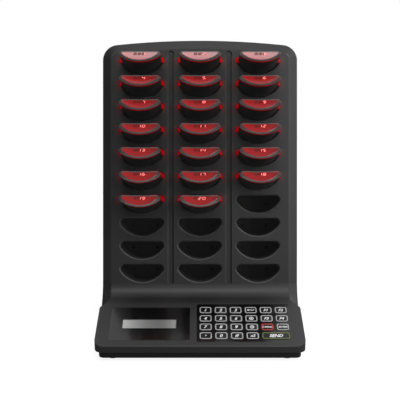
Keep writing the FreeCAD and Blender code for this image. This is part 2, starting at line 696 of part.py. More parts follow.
def pager_case():
    """Pager body: a D bar that tapers from below towards its leaning front."""
    bar = d_prism(PAGER_W, PAGER_H, PAGER_CORNER, 0, PAGER_REAR, PAGER_REACH + PAGER_H)
    bar.translate(V(0, -PAGER_TOP_GAP, 0))
    seat = Part.Face(lens_outline(LENS_RIM, LENS_SEAT)).extrude(LENS_OUT * (LENS_SEAT + LENS_PROUD))
    case = bar.common(pager_nose()).cut([seat, pager_hollow()])
    return case.cut([charge_pad(side, CONTACT_FIT) for side in (-1, 1)])


def pager_hollow():
    return box(-PAGER_ROOM_W / 2, PAGER_ROOM_W / 2, PAGER_ROOM_LOW, PAGER_ROOM_TOP,
               PAGER_REAR + PAGER_WALL, PAGER_ROOM_FRONT)


def charge_pad(side, grow):
    u = side * CONTACT_SPREAD
    v = -POCKET_H / 2
    half_w = CHARGE_PAD_W / 2 + grow
    half_h = CHARGE_PAD_H / 2 + grow
    return box(u - half_w, u + half_w, v - half_h, v + half_h,
               PAGER_REAR, PAGER_REAR + CHARGE_PAD_THICK)


def pager_lens():
    """Translucent end of the pager, set into the rim of its case."""
    back = Part.Face(lens_outline(LENS_RIM + LENS_FIT, LENS_THICK - LENS_PROUD))
    return back.extrude(LENS_OUT * LENS_THICK)


def pager_insides():
    """Circuit board with the cell under it and the vibration motor behind the lens."""
    half = PAGER_ROOM_W / 2 - LENS_FIT
    rear = PAGER_REAR + PAGER_WALL + LENS_FIT
    front = PAGER_ROOM_FRONT - LENS_FIT
    board_top = PAGER_ROOM_TOP - PAGER_BOARD_REST
    board_low = board_top - PAGER_BOARD_THICK
    board = box(-half, half, board_low, board_top, rear, front)
    cell_top = board_low - LENS_FIT
    cell = box(-CELL_W / 2, CELL_W / 2, cell_top - CELL_H, cell_top, rear, rear + CELL_LENGTH)
    motor = Part.makeCylinder(MOTOR_R, MOTOR_LENGTH,
                              V(-MOTOR_LENGTH / 2, cell_top - MOTOR_R, front - 2 * MOTOR_R),
                              V(1, 0, 0))
    return [board, cell, motor]


def pager():
    pieces = [pager_case(), pager_lens(), charge_pad(-1, 0), charge_pad(1, 0)]
    return pieces + pager_insides()


def key_places():
    """Middle of each key on the deck, and its width. The last key is twice as wide."""
    places = []
    for row in range(KEY_ROWS):
        s = KEY_FIRST_S + row * KEY_PITCH_S
        last_row = row == KEY_ROWS - 1
        for column in range(KEY_COLUMNS - 2 if last_row else KEY_COLUMNS):
            places.append((KEY_FIRST_U + column * KEY_PITCH_U, s, KEY_W))
        if last_row:
            middle = KEY_FIRST_U + (KEY_COLUMNS - 1.5) * KEY_PITCH_U
            places.append((middle, s, KEY_W + KEY_PITCH_U))
    return places


def key_cap(u, s, width):
    half_w = width / 2
    half_h = KEY_H / 2
    cap = rounded_slab(u - half_w, u + half_w, -s - half_h, half_h - s, KEY_CORNER,
                       -KEY_DROP, KEY_PROUD)
    return place(cap.makeChamfer(KEY_EDGE, edges_at(cap, KEY_PROUD)), DECK)


def keypad_bezel():
    left, right, top, bottom = KEYPAD_EDGES
    plate = rounded_slab(left + PANEL_FIT, right - PANEL_FIT, PANEL_FIT - bottom,
                         -top - PANEL_FIT, PANEL_CORNER, -PANEL_THICK, 0)
    holes = []
    for u, s, width in key_places():
        half_w = width / 2 + KEY_GAP
        half_h = KEY_H / 2 + KEY_GAP
        holes.append(rounded_slab(u - half_w, u + half_w, -s - half_h, half_h - s,
                                  KEY_CORNER + KEY_GAP, -2 * PANEL_THICK, PANEL_THICK))
    return place(plate.cut(holes), DECK)


def dome_mat():
    """Rubber sheet on the main board with one dome under each key."""
    half_h = KEY_H / 2 + MAT_MARGIN
    u0 = KEY_FIRST_U - KEY_W / 2 - MAT_MARGIN
    u1 = KEY_FIRST_U + (KEY_COLUMNS - 1) * KEY_PITCH_U + KEY_W / 2 + MAT_MARGIN
    v0 = -KEY_FIRST_S - (KEY_ROWS - 1) * KEY_PITCH_S - half_h
    sheet = box(u0, u1, v0, half_h - KEY_FIRST_S, MAT_TOP - MAT_THICK, MAT_TOP)
    domes = [key_dome(u, -s) for u, s, _ in key_places()]
    return place(sheet.fuse(domes), DECK)


def key_dome(u, v):
    """Square dome with sloping sides that a key presses on."""
    foot, tip = DOME_HALF, DOME_TIP_HALF
    dome = Part.makeWedge(-foot, 0, -foot, -tip, -tip, foot, DOME_H, foot, tip, tip)
    stand = FreeCAD.Placement(V(u, v, MAT_TOP), FreeCAD.Rotation(V(1, 0, 0), 90.0))
    return place(dome, stand)


def main_board():
    top = MAT_TOP - MAT_THICK
    board = box(-MAIN_BOARD_U, MAIN_BOARD_U, -MAIN_BOARD_BOTTOM, -MAIN_BOARD_TOP,
                top - BOARD_THICK, top)
    return place(board, DECK)


def transmitter_board():
    """Radio module soldered under the main board."""
    top = MAT_TOP - MAT_THICK - BOARD_THICK - RADIO_GAP
    u = RADIO_CENTRE_U
    v = -RADIO_CENTRE_S
    module = box(u - RADIO_W / 2, u + RADIO_W / 2, v - RADIO_L / 2, v + RADIO_L / 2,
                 top - RADIO_THICK, top)
    return place(module, DECK)


def display_bezel():
    left, right, top, bottom = DISPLAY_EDGES
    plate = rounded_slab(left + PANEL_FIT, right - PANEL_FIT, PANEL_FIT - bottom,
                         -top - PANEL_FIT, PANEL_CORNER, -PANEL_THICK, 0)
    window = box(WINDOW_LEFT, WINDOW_RIGHT, -WINDOW_BOTTOM, -WINDOW_TOP,
                 -2 * PANEL_THICK, PANEL_THICK)
    return place(plate.cut(window), DECK)


def display_window():
    pane = box(WINDOW_LEFT + WINDOW_FIT, WINDOW_RIGHT - WINDOW_FIT,
               WINDOW_FIT - WINDOW_BOTTOM, -WINDOW_TOP - WINDOW_FIT,
               -PANEL_THICK, -WINDOW_RECESS)
    return place(pane, DECK)


def lcd_module():
    """Glass display in its frame, behind the clear window."""
    top = -PANEL_THICK - LCD_SEAT_GAP
    module = box(WINDOW_LEFT - LCD_MARGIN_U, WINDOW_RIGHT + LCD_MARGIN_U,
                 -WINDOW_BOTTOM - LCD_MARGIN_S, LCD_MARGIN_S - WINDOW_TOP,
                 MAT_TOP - MAT_THICK, top)
    return place(module, DECK)


def bottom_cover():
    """Shallow tray, drawn in under the housing, with a flange that fits inside its walls."""
    tray = plan_block(BASE_INSET, BASE_CORNER_R, BASE_CORNER_R, BASE_Z, FLANGE_TOP)
    flange = plan_block(WALL + COVER_FIT, BASE_CORNER_R, PLAN_REAR_R,
                        FLANGE_TOP - FLANGE_THICK, FLANGE_TOP)
    room = plan_block(BASE_INSET + WALL, BASE_CORNER_R - WALL, BASE_CORNER_R - WALL,
                      BASE_Z + WALL, FAR)
    cover = tray.fuse(flange)
    posts = [base_pin(x, y, BOSS_R + WALL, BASE_Z, FLANGE_TOP) for x, y in base_screw_places()]
    limit = plan_block(BASE_INSET, BASE_CORNER_R, BASE_CORNER_R, BASE_Z, FLANGE_TOP)
    cover = cover.cut(room).fuse([post.common(limit) for post in posts])
    cuts = []
    for x, y in base_screw_places():
        cuts.append(base_pin(x, y, SCREW_R + SCREW_FIT, BASE_Z, FLANGE_TOP))
        cuts.append(base_pin(x, y, SCREW_HEAD_R + SCREW_FIT, BASE_Z, BASE_HEAD_Z))
    for x, y in foot_places():
        cuts.append(base_pin(x, y, FOOT_R + FOOT_FIT, BASE_Z, BASE_Z + FOOT_SEAT))
    return cover.cut(cuts)


def foot_places():
    return [(side * FOOT_X, y) for side in (-1, 1) for y in (FOOT_FRONT_Y, FOOT_REAR_Y)]


def rubber_feet():
    feet = []
    for x, y in foot_places():
        disc = base_pin(x, y, FOOT_R, FOOT_SHOULDER_Z, BASE_Z + FOOT_SEAT)
        tip = Part.makeCone(FOOT_TIP_R, FOOT_R, FOOT_SHOULDER_Z, V(x, y, 0))
        feet.append(disc.fuse(tip))
    return Part.makeCompound(feet)


def rear_cover():
    """Upright plate that closes the housing behind, held by six screws."""
    plate = box(-HALF, HALF, COVER_FRONT_Y, COVER_FRONT_Y + REAR_COVER_THICK, -FAR / 4, FAR)
    plate = plate.common(tower_block(WALL + COVER_FIT))
    plate = plate.common(box(-HALF, HALF, 0, DEPTH, FLANGE_TOP + COVER_FIT, FAR))
    cuts = [rear_pin(x, z, SCREW_R + SCREW_FIT, 0, DEPTH) for x, z in rear_screw_places()]
    cuts.append(rear_pin(INLET_X, INLET_Z, INLET_COLLAR_R + INLET_FIT, 0, DEPTH))
    return plate.cut(cuts)


def case_screws():
    screws = []
    back = COVER_FRONT_Y + REAR_COVER_THICK
    for x, z in rear_screw_places():
        shank = rear_pin(x, z, SCREW_R - SCREW_FIT, back - SCREW_LENGTH, back)
        screws.append(shank.fuse(rear_pin(x, z, SCREW_HEAD_R, back, back + REAR_HEAD_H)))
    for x, y in base_screw_places():
        shank = base_pin(x, y, SCREW_R - SCREW_FIT, BASE_HEAD_Z, FLANGE_TOP + SCREW_REACH)
        head = base_pin(x, y, SCREW_HEAD_R, BASE_HEAD_Z - SCREW_HEAD_H, BASE_HEAD_Z)
        screws.append(shank.fuse(head))
    return Part.makeCompound(screws)


def dc_inlet():
    """Power jack behind the rear cover, its round collar in the cover's hole."""
    x0 = INLET_X - INLET_W / 2
    body = Part.makeBox(INLET_W, INLET_L, INLET_H,
                        V(x0, COVER_FRONT_Y - INLET_FIT - INLET_L, INLET_Z - INLET_H / 2))
    face = COVER_FRONT_Y + REAR_COVER_THICK
    floor = face - INLET_BORE_L
    root = COVER_FRONT_Y - INLET_FIT - INLET_ROOT
    collar = rear_pin(INLET_X, INLET_Z, INLET_COLLAR_R, root, face)
    bore = rear_pin(INLET_X, INLET_Z, INLET_BORE_R, floor, face)
    pin = rear_pin(INLET_X, INLET_Z, INLET_PIN_R, floor - INLET_ROOT, face - INLET_PIN_GAP)
    return body.fuse(collar).cut(bore).fuse(pin)


def save(name, shape):
    shape = place(shape, CENTRE)
    shape.exportStep("parts/" + name + ".step")


def main():
    os.makedirs("parts", exist_ok=True)
    save("front_housing", front_housing())
    save("charging_cups", charging_cups())
    save("charging_contacts", charging_contacts())
    save("charging_board", charging_board())
    save("main_board", main_board())
    save("transmitter_board", transmitter_board())
    save("dome_mat", dome_mat())
    save("keypad_bezel", keypad_bezel())
    save("display_bezel", display_bezel())
    save("display_window", display_window())
    save("lcd_module", lcd_module())
    save("bottom_cover", bottom_cover())
    save("rear_cover", rear_cover())
    save("rubber_feet", rubber_feet())
    save("case_screws", case_screws())
    save("dc_inlet", dc_inlet())

    pieces = [place(piece, FACE) for piece in pager()]
    for number, (u, v) in enumerate(pocket_places()[:PAGER_COUNT], start=1):
        standing = Part.makeCompound(pieces)
        standing.translate(FACE.Rotation.multVec(V(u, v, 0)))
        save("pager_%02d" % number, standing)

    for name, (u, s, width) in zip(KEY_NAMES, key_places()):
        save("key_" + name, key_cap(u, s, width))


main()
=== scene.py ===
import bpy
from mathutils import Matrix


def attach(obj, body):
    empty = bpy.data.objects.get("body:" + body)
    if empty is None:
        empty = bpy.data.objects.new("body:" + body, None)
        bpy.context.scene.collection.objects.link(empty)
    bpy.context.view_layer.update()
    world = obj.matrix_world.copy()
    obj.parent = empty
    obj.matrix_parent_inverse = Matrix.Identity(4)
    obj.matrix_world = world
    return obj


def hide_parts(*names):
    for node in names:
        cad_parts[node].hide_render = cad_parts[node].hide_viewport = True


bl_info = {
    "name": "Guest Pager Dock",
    "version": (1, 0, 0),
    "blender": (4, 5, 0),
    "location": "3D View > Sidebar > Pager Dock",
    "description": "Dresses a charging dock of guest pagers: pagers, lights, prints, finishes and studio",
    "category": "Object",
}

import math

import bmesh
import bpy
from bpy.props import FloatProperty, FloatVectorProperty, PointerProperty
from bpy.types import Operator, Panel, PropertyGroup
from mathutils import Matrix, Vector

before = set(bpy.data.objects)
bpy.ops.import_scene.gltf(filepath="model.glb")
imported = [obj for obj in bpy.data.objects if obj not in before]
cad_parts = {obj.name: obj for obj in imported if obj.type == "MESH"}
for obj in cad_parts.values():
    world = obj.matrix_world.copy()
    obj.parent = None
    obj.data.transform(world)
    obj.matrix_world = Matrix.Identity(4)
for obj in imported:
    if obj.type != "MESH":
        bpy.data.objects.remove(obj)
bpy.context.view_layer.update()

MM = 0.001

# --- sizes of the dock's own solids, in metres -------------------------------------
LEAN = math.radians(15.0)
SLOPE = math.radians(19.7)
CORNER = Vector((0.0, -25.33, 47.31)) * MM
COLUMNS = 3
ROWS = 10
COLUMN_PITCH = 63.8 * MM
ROW_PITCH = 25.4 * MM
LOWEST_TOP = 29.3 * MM
PAGER_COUNT = 20

# Pager, from its place in the pocket's mouth: the bar that stands in the pocket, and the
# smaller end in front of it, which leans back and holds the lens.
PAGER_W = 44.0 * MM
PAGER_H = 18.9 * MM
PAGER_CORNER = 4.5 * MM
PAGER_TOP = -0.3 * MM
PAGER_REAR = -51.11 * MM
PAGER_NECK = 2.0 * MM
PAGER_REACH = 30.5 * MM
END_TILT = math.radians(-35.0)
END_H = 14.8 * MM
END_CORNER = 4.2 * MM
LENS_W = 38.2 * MM
LENS_H = 11.2 * MM
LENS_CORNER = 1.3 * MM
POCKET_W = 47.8 * MM

# Digits on the lens, from the middle of the end's straight edge.
DIGITS_AT = (-0.2 * MM, -4.2 * MM, 0.26 * MM)
DIGIT_PITCH = 4.4 * MM

# Keys: across and down the deck from its corner, and how far they stand out of it.
KEY_COLUMNS = 6
KEY_FIRST = (5.9 * MM, 30.7 * MM)
KEY_PITCH = (16.0 * MM, 12.5 * MM)
KEY_SIZE = (13.2 * MM, 10.0 * MM)
KEY_TOP = 0.6 * MM
PRINT_THICK = 0.04 * MM

# Camera's place, up the tower's face and out of it.
CAMERA_UP = 100.2 * MM
CAMERA_OUT = 792.0 * MM

# Points nearer than this lie in the same place.
HAIR = 0.01 * MM

# Face frame: X to the right, Y up the tower's face, Z out of it. Deck frame: X to the
# right, Y up the deck, Z out of it. Both start where face and deck planes meet.
FACE = Matrix.Translation(CORNER) @ Matrix.Rotation(math.pi / 2 - LEAN, 4, "X")
DECK = Matrix.Translation(CORNER) @ Matrix.Rotation(SLOPE, 4, "X")
PAGER_END = (Matrix.Translation((0, PAGER_TOP, PAGER_REACH))
             @ Matrix.Rotation(END_TILT, 4, "X"))
END_OUT = PAGER_END.to_3x3() @ Vector((0, 0, 1))

# Segments of a digit: middle in digit heights, and whether it lies flat.
SEGMENTS = {
    "a": (0.0, 0.5, True), "b": (0.41, 0.25, False), "c": (0.41, -0.25, False),
    "d": (0.0, -0.5, True), "e": (-0.41, -0.25, False), "f": (-0.41, 0.25, False),
    "g": (0.0, 0.0, True),
}
LIT_SEGMENTS = {
    "0": "abcdef", "1": "bc", "2": "abged", "3": "abgcd", "4": "fgbc",
    "5": "afgcd", "6": "afgedc", "7": "abc", "8": "abcdefg", "9": "abcdfg",
}

# Keys in their order on the deck: node, legend, legend height in millimetres.
KEYS = (
    ("1", "1", 4.0), ("2", "2", 4.0), ("3", "3", 4.0),
    ("setup", "SETUP", 2.0), ("f1", "F1", 3.6), ("f2", "F2", 3.6),
    ("4", "4", 4.0), ("5", "5", 4.0), ("6", "6", 4.0),
    ("up", "", 0.0), ("f3", "F3", 3.6), ("f4", "F4", 3.6),
    ("7", "7", 4.0), ("8", "8", 4.0), ("9", "9", 4.0),
    ("down", "", 0.0), ("cancel", "CANCEL", 2.0), ("enter", "ENTER", 2.2),
    ("star", "*", 3.4), ("0", "0", 4.0), ("hash", "#", 4.0),
    ("repeat", "x2", 3.4), ("send", "SEND", 4.0),
)


# --- settings that a user would change -----------------------------------------------

def colour(name, description, default):
    return FloatVectorProperty(name=name, description=description, subtype="COLOR",
                               size=3, min=0.0, max=1.0, default=default)


def length(name, description, default):
    return FloatProperty(name=name, description=description, default=default * MM,
                         min=0.0, unit="LENGTH", precision=5)


def share(name, description, default, top=1.0):
    return FloatProperty(name=name, description=description, default=default,
                         min=0.0, max=top, subtype="FACTOR")


class ShellSettings(PropertyGroup):
    """Finish of the dock's mouldings."""
    shell: colour("Shell", "Colour of the moulded housing", (0.021, 0.020, 0.0205))
    base: colour("Base", "Colour of the bottom cover", (0.008, 0.008, 0.0082))
    cup: colour("Cups", "Colour of the charging cups", (0.02, 0.02, 0.02))
    panel: colour("Panels", "Colour of the glossy deck panels", (0.0025, 0.0025, 0.0027))
    grain: length("Grain", "Size of the spark texture's grains", 0.7)
    edge: length("Edge", "Radius to which sharp edges look worn", 0.3)
    gloss: share("Roughness", "Roughness of the housing", 0.46)
    # Cup haze is a faint painted glow that lifts the dark cups.
    haze: share("Cup haze", "Faint light left in the depth of the cups", 0.004)


class PagerSettings(PropertyGroup):
    """Sizes and light of the pagers."""
    hull: colour("Hull", "Colour of the pager cases", (0.004, 0.004, 0.0042))
    rim: colour("Rim", "Colour of the rim round each lens", (0.022, 0.0235, 0.0235))
    lens: colour("Lens", "Colour of the translucent lens", (0.12, 0.007, 0.007))
    glow: share("Lens light", "How strongly each lens glows", 0.44, 5.0)
    strip: share("Strip light", "How strongly the light strips glow", 0.22, 5.0)
    rim_width: length("Rim width", "Width of the rim above the lens", 1.55)
    digit: length("Digit height", "Height of the digits on the lens", 3.1)


class PrintSettings(PropertyGroup):
    """Prints on the keys."""
    line: colour("Outline", "Colour of the key outlines", (0.42, 0.42, 0.42))
    legend: colour("Legend", "Colour of the legends", (0.8, 0.8, 0.8))
    stop: colour("Cancel outline", "Colour of the cancel key's outline", (0.5, 0.03, 0.03))
    go: colour("Send outline", "Colour of the send key's outline", (0.12, 0.16, 0.035))
    line_width: length("Outline width", "Width of the key outlines", 1.05)
    slant: share("Slant", "Slant of the legends", 0.3)


class StudioSettings(PropertyGroup):
    """Light and camera."""
    fill: share("Fill", "Light from all round", 0.56, 5.0)
    right: share("Right box", "Watts of the softbox on the right", 2.2, 100.0)
    side: share("Side box", "Watts of the softbox high on the right", 0.9, 100.0)
    top: share("Top box", "Watts of the strip overhead", 0.7, 100.0)
    front: share("Front box", "Watts of the softbox above the front", 5.0, 100.0)
    lens: FloatProperty(name="Lens", description="Focal length of the camera, in millimetres",
                        default=64.8, min=1.0)


# --- materials -----------------------------------------------------------------------

class Value:
    """A number that varies over a surface. Arithmetic on it adds Math nodes."""

    def __init__(self, finish, socket):
        self.finish = finish
        self.socket = socket

    def math(self, operation, *operands):
        return self.finish.node("ShaderNodeMath", {"operation": operation},
                                dict(enumerate(operands)))

    def __add__(self, other):
        return self.math("ADD", self, other)

    def __sub__(self, other):
        return self.math("SUBTRACT", self, other)

    def __rsub__(self, other):
        return self.math("SUBTRACT", other, self)

    def __mul__(self, other):
        return self.math("MULTIPLY", self, other)

    def __truediv__(self, other):
        return self.math("DIVIDE", self, other)

    def __abs__(self):
        return self.math("ABSOLUTE", self)

    __radd__ = __add__
    __rmul__ = __mul__

    def least(self, other):
        return self.math("MINIMUM", self, other)

    def most(self, other):
        return self.math("MAXIMUM", self, other)

    def ramp(self, low, high):
        """0 below low and 1 above high, with a soft step between. low may be the larger."""
        if low > high:
            return 1 - self.ramp(high, low)
        return self.finish.node("ShaderNodeMapRange", {"interpolation_type": "SMOOTHSTEP"},
                                {"Value": self, "From Min": low, "From Max": high})

    def near(self, centre, inner, outer):
        """1 within inner of the centre and 0 beyond outer, with a soft step between."""
        return abs(self - centre).ramp(outer, inner)

    def between(self, low, high, soft):
        """1 between low and high and 0 outside, with steps that reach soft to each side."""
        return self.ramp(low - soft, low + soft) * self.ramp(high + soft, high - soft)

    def fraction(self):
        return self.math("FRACT", self)


class Finish:
    """A material, and the nodes that are added to it."""

    def __init__(self, tree):
        self.tree = tree

    def node(self, kind, settings=None, inputs=None, output=0):
        """Adds a node with its settings and the values or links of its sockets."""
        made = self.tree.nodes.new(kind)
        for name, setting in (settings or {}).items():
            setattr(made, name, setting)
        for name, given in (inputs or {}).items():
            socket = made.inputs[name]
            if isinstance(given, Value):
                self.tree.links.new(given.socket, socket)
            else:
                socket.default_value = given
        return Value(self, made.outputs[output])

    def place(self, source="Object"):
        return self.node("ShaderNodeTexCoord", output=source)

    def axes(self, vector):
        split = self.node("ShaderNodeSeparateXYZ", inputs={"Vector": vector})
        outputs = split.socket.node.outputs
        return [Value(self, outputs[i]) for i in range(3)]

    def noise(self, size, detail=2.0, rough=0.5, stretch=(1, 1, 1), source="Object"):
        """Noise from 0 to 1 with grains of about size metres."""
        place = self.node("ShaderNodeMapping", inputs={"Vector": self.place(source), "Scale": stretch})
        return self.node("ShaderNodeTexNoise", inputs={
            "Vector": place, "Scale": 1.0 / size, "Detail": detail, "Roughness": rough})

    def mix(self, factor, first, second):
        made = self.tree.nodes.new("ShaderNodeMix")
        made.data_type = "RGBA"
        for index, given in ((0, factor), (6, first), (7, second)):
            if isinstance(given, Value):
                self.tree.links.new(given.socket, made.inputs[index])
            elif index == 0:
                made.inputs[index].default_value = given
            else:
                made.inputs[index].default_value = (*given[:3], 1.0)
        return Value(self, made.outputs[2])

    def bump(self, height, distance, strength=1.0, edge=0.0):
        inputs = {"Height": height, "Distance": distance, "Strength": strength}
        if edge:
            inputs["Normal"] = self.node("ShaderNodeBevel", {"samples": 4}, {"Radius": edge})
        return self.node("ShaderNodeBump", inputs=inputs)


def shader(name, build, **fixed):
    """New material: build(finish) gives the sockets that vary, fixed gives the constants."""
    material = bpy.data.materials.new(name)
    material.use_nodes = True
    tree = material.node_tree
    tree.nodes.clear()
    finish = Finish(tree)
    surface = tree.nodes.new("ShaderNodeBsdfPrincipled")
    for socket, given in fixed.items():
        surface.inputs[socket.replace("_", " ")].default_value = given
    for socket, given in build(finish).items():
        tree.links.new(given.socket, surface.inputs[socket])
    out = tree.nodes.new("ShaderNodeOutputMaterial")
    tree.links.new(surface.outputs[0], out.inputs[0])
    return material


def lighter(tint, by):
    """The tint made lighter, or darker where by is under 1."""
    return tuple(min(1.0, part * by) for part in tint)


def worn_tone(finish, tone, tint, inner, across, up, out, down):
    """Painted shade on the housing in its pockets and grooves, darkest along the right wall of each
    groove, and on the strip behind the deck panels; painted highlights on the edges of pockets and
    grooves."""
    on_face = up.between(9 * MM, 261 * MM, 1 * MM) * inner
    from_groove = across - COLUMN_PITCH / 2 * across.math("SIGN", across)
    groove = from_groove.near(0.0, 4.3 * MM, 4.6 * MM)
    floor = groove * out.between(-2.1 * MM, -1.0 * MM, 0.3 * MM)
    corner = from_groove.near(2.1 * MM, 0.5 * MM, 1.1 * MM)
    wall = (1.0 - groove) * out.ramp(-1.05 * MM, -1.4 * MM)
    behind_panels = down.between(10 * MM, 19 * MM, 1 * MM) * inner
    # Painted shade: groove floors with a painted shadow line at their right wall, pocket walls, and the
    # strip behind the deck panels.
    painted_shade = on_face * (floor * (0.2 + 0.8 * corner) + wall) + 0.6 * behind_panels
    # Painted highlight on the lips of the pockets.
    lip = (1.0 - groove) * out.ramp(-1.2 * MM, -1.0 * MM) * out.ramp(-0.02 * MM, -0.1 * MM)
    # Painted highlights along the edges of the grooves.
    left_edge = from_groove.near(-3.3 * MM, 0.4 * MM, 1.0 * MM) * out.ramp(-2 * MM, -1.6 * MM)
    right_edge = from_groove.near(3.8 * MM, 0.3 * MM, 0.7 * MM)
    painted_highlight = on_face * 0.55 * (left_edge + 0.4 * right_edge)
    tone = finish.mix(painted_shade.least(1.0), tone, lighter(tint, 0.1))
    tone = finish.mix(painted_highlight.least(1.0), tone, lighter(tint, 3.2))
    return finish.mix((on_face * 0.8 * lip).least(1.0), tone, lighter(tint, 4.6))


def spilled_light(finish, inner, across, up):
    """Red on the housing beside the side lights of the pockets that hold pagers."""
    column = (across / COLUMN_PITCH + 0.5).fraction()
    beside = (abs(column - 0.5) * COLUMN_PITCH).near(25.5 * MM, 0.5 * MM, 6 * MM)
    row = ((LOWEST_TOP - up) / ROW_PITCH).fraction()
    level = (row * ROW_PITCH).near(4 * MM, 1 * MM, 11 * MM)
    highest = LOWEST_TOP + (ROWS - 1) * ROW_PITCH
    lowest = LOWEST_TOP + (ROWS - math.ceil(PAGER_COUNT / COLUMNS)) * ROW_PITCH
    last_column = across.ramp(31 * MM, 33 * MM)
    lit = (up - ROW_PITCH * last_column).ramp(lowest - 14 * MM, lowest - 7 * MM)
    lit = lit * up.ramp(highest + 8 * MM, highest + 6 * MM) * inner
    return finish.mix(lit * beside * level, (0.0, 0.0, 0.0), (0.03, 0.0, 0.001))


def housing_marks(finish, tone, tint):
    """Painted shade, painted highlights and a painted red glow of the housing, by the place on its face
    and deck. Its outer bevels and side walls have none of them."""
    across, y, z = finish.axes(finish.place())
    y = y - CORNER.y
    z = z - CORNER.z
    up = y * math.sin(LEAN) + z * math.cos(LEAN)
    out = z * math.sin(LEAN) - y * math.cos(LEAN)
    down = 0.0 - y * math.cos(SLOPE) - z * math.sin(SLOPE)
    inner = across.near(0.0, 94 * MM, 100 * MM)
    # Tone with painted shade and highlights; emission colour with a painted red glow.
    tone = worn_tone(finish, tone, tint, inner, across, up, out, down)
    return tone, spilled_light(finish, inner, across, up)


def moulded(name, tint, rough, grain, edge=0.0, depth=0.06, light=0.0, marks=None):
    """Spark-textured moulding: grains, faint mottling and rounded edges. Where marks are
    given, they paint shade and highlights into its tone and set the colour of its painted glow."""
    def build(finish):
        fine = finish.noise(grain, 3.0, 0.6)
        cloud = finish.noise(40 * grain, 3.0)
        scuff = finish.noise(9 * grain, 6.0, 0.75).ramp(0.62, 0.8)
        tone = finish.mix(cloud, lighter(tint, 0.9), lighter(tint, 1.12))
        tone = finish.mix(fine.ramp(0.35, 0.7) * 0.5, tone, lighter(tint, 1.35))
        tone = finish.mix(scuff * 0.12, tone, lighter(tint, 1.8))
        varied = {
            "Roughness": rough - 0.06 + 0.12 * fine + 0.05 * cloud,
            "Normal": finish.bump(fine, depth * MM, 0.5, edge),
        }
        # Marks paint shade, highlights and a glow onto the moulding.
        if marks:
            tone, varied["Emission Color"] = marks(finish, tone, tint)
        varied["Base Color"] = tone
        return varied
    return shader(name, build, Emission_Color=(1.0, 1.0, 1.0, 1.0), Emission_Strength=light)


def glossy_panel(name, tint):
    """Polished acrylic with faint wiping marks and dust."""
    def build(finish):
        wipe = finish.noise(14 * MM, 4.0, 0.6, (1.0, 0.25, 1.0))
        dust = finish.noise(0.5 * MM, 1.0).ramp(0.74, 0.8)
        return {
            "Base Color": finish.mix(dust * 0.5, tint, (0.02, 0.02, 0.02)),
            "Roughness": 0.16 + 0.07 * wipe.ramp(0.4, 0.75) + 0.2 * dust,
            "Coat Weight": 0.5 - 0.3 * wipe,
            "Normal": finish.bump(wipe, 0.02 * MM, 0.2, 0.3 * MM),
        }
    return shader(name, build, Coat_Roughness=0.12)


def key_plastic(name, tint):
    """Glossy key with finger-worn patches, a little lighter and more matt."""
    def build(finish):
        wear = finish.noise(6 * MM, 3.0)
        fine = finish.noise(0.4 * MM, 2.0)
        return {
            "Base Color": finish.mix(wear, lighter(tint, 0.8), lighter(tint, 1.4)),
            "Roughness": 0.2 + 0.14 * wear,
            "Normal": finish.bump(fine, 0.01 * MM, 0.3, 0.25 * MM),
        }
    return shader(name, build)


def hull_plastic(name, tint):
    """Satin case with fine scratches along its length, and a faint painted glow."""
    def build(finish):
        scratch = finish.noise(1.2 * MM, 4.0, 0.7, (6.0, 1.0, 1.0)).ramp(0.6, 0.8)
        soft = finish.noise(7 * MM, 2.0)
        return {
            "Base Color": finish.mix(scratch * 0.4, tint, lighter(tint, 3.0)),
            "Roughness": 0.3 + 0.12 * soft + 0.1 * scratch,
            "Normal": finish.bump(soft + scratch * 0.3, 0.02 * MM, 0.3),
        }
    # The faint white emission is painted light that lifts the black case.
    return shader(name, build, Emission_Color=(1.0, 0.96, 0.96, 1.0), Emission_Strength=0.0045)


def rim_plastic(name, tint, light):
    """Smoke-grey satin rim with a faint painted glow."""
    def build(finish):
        rub = finish.noise(2.5 * MM, 3.0, 0.6)
        return {
            "Base Color": finish.mix(rub, lighter(tint, 0.8), lighter(tint, 1.25)),
            "Roughness": 0.3 + 0.14 * rub,
        }
    # The emission is a painted glow of the rim.
    return shader(name, build, Emission_Color=(0.9, 0.86, 0.86, 1.0), Emission_Strength=light)


def lens_plastic(name, tint, light):
    """Translucent lens lit from behind: brightest at its left, dimmest at its display."""
    def build(finish):
        across, up, _ = finish.axes(finish.place("UV"))
        left = (across + up * 0.3).ramp(0.1, -1.0)
        right = across.ramp(0.35, 0.9)
        middle = across.near(-0.12, 0.1, 0.5) * up.ramp(-0.75, -0.15)
        streak = (across + up * 0.6).near(-0.5, 0.0, 0.16)
        mottle = finish.noise(0.05, 3.0, 0.5, (1, 1, 1), "UV")
        lit = 0.5 + 0.36 * left + 0.08 * right + 0.1 * streak + 0.14 * mottle - 0.44 * middle
        tone = finish.mix(left * 0.7 + mottle * 0.2, lighter(tint, 0.6), lighter(tint, 1.35))
        shade = finish.mix(left, (1.0, 0.035, 0.04), (1.0, 0.125, 0.12))
        glow = finish.mix(lit.least(1.0), (0.02, 0.0, 0.0), shade)
        return {
            "Base Color": tone,
            "Emission Color": glow,
            "Roughness": 0.14 + 0.1 * mottle,
            "Coat Weight": 0.8 + 0.2 * mottle,
        }
    return shader(name, build, Emission_Strength=light, Coat_Roughness=0.05, Coat_IOR=1.7)


def glow_plastic(name, tint, light):
    """Light guide that shines along its whole length, a little uneven."""
    def build(finish):
        uneven = finish.noise(5 * MM, 2.0)
        return {
            "Base Color": finish.mix(uneven, lighter(tint, 0.6), tint),
            "Emission Color": finish.mix(uneven, lighter(tint, 0.55), tint),
            "Roughness": 0.35 + 0.1 * uneven,
        }
    return shader(name, build, Emission_Strength=light, Specular_IOR_Level=0.1)


def ink(name, tint, light=0.0):
    """Screen print: slightly uneven and broken at its grain."""
    def build(finish):
        grain = finish.noise(0.25 * MM, 3.0, 0.6)
        tone = finish.mix(grain.ramp(0.3, 0.7), lighter(tint, 0.85), lighter(tint, 1.05))
        return {"Base Color": tone, "Emission Color": tone, "Roughness": 0.4 + 0.2 * grain}
    return shader(name, build, Emission_Strength=light)


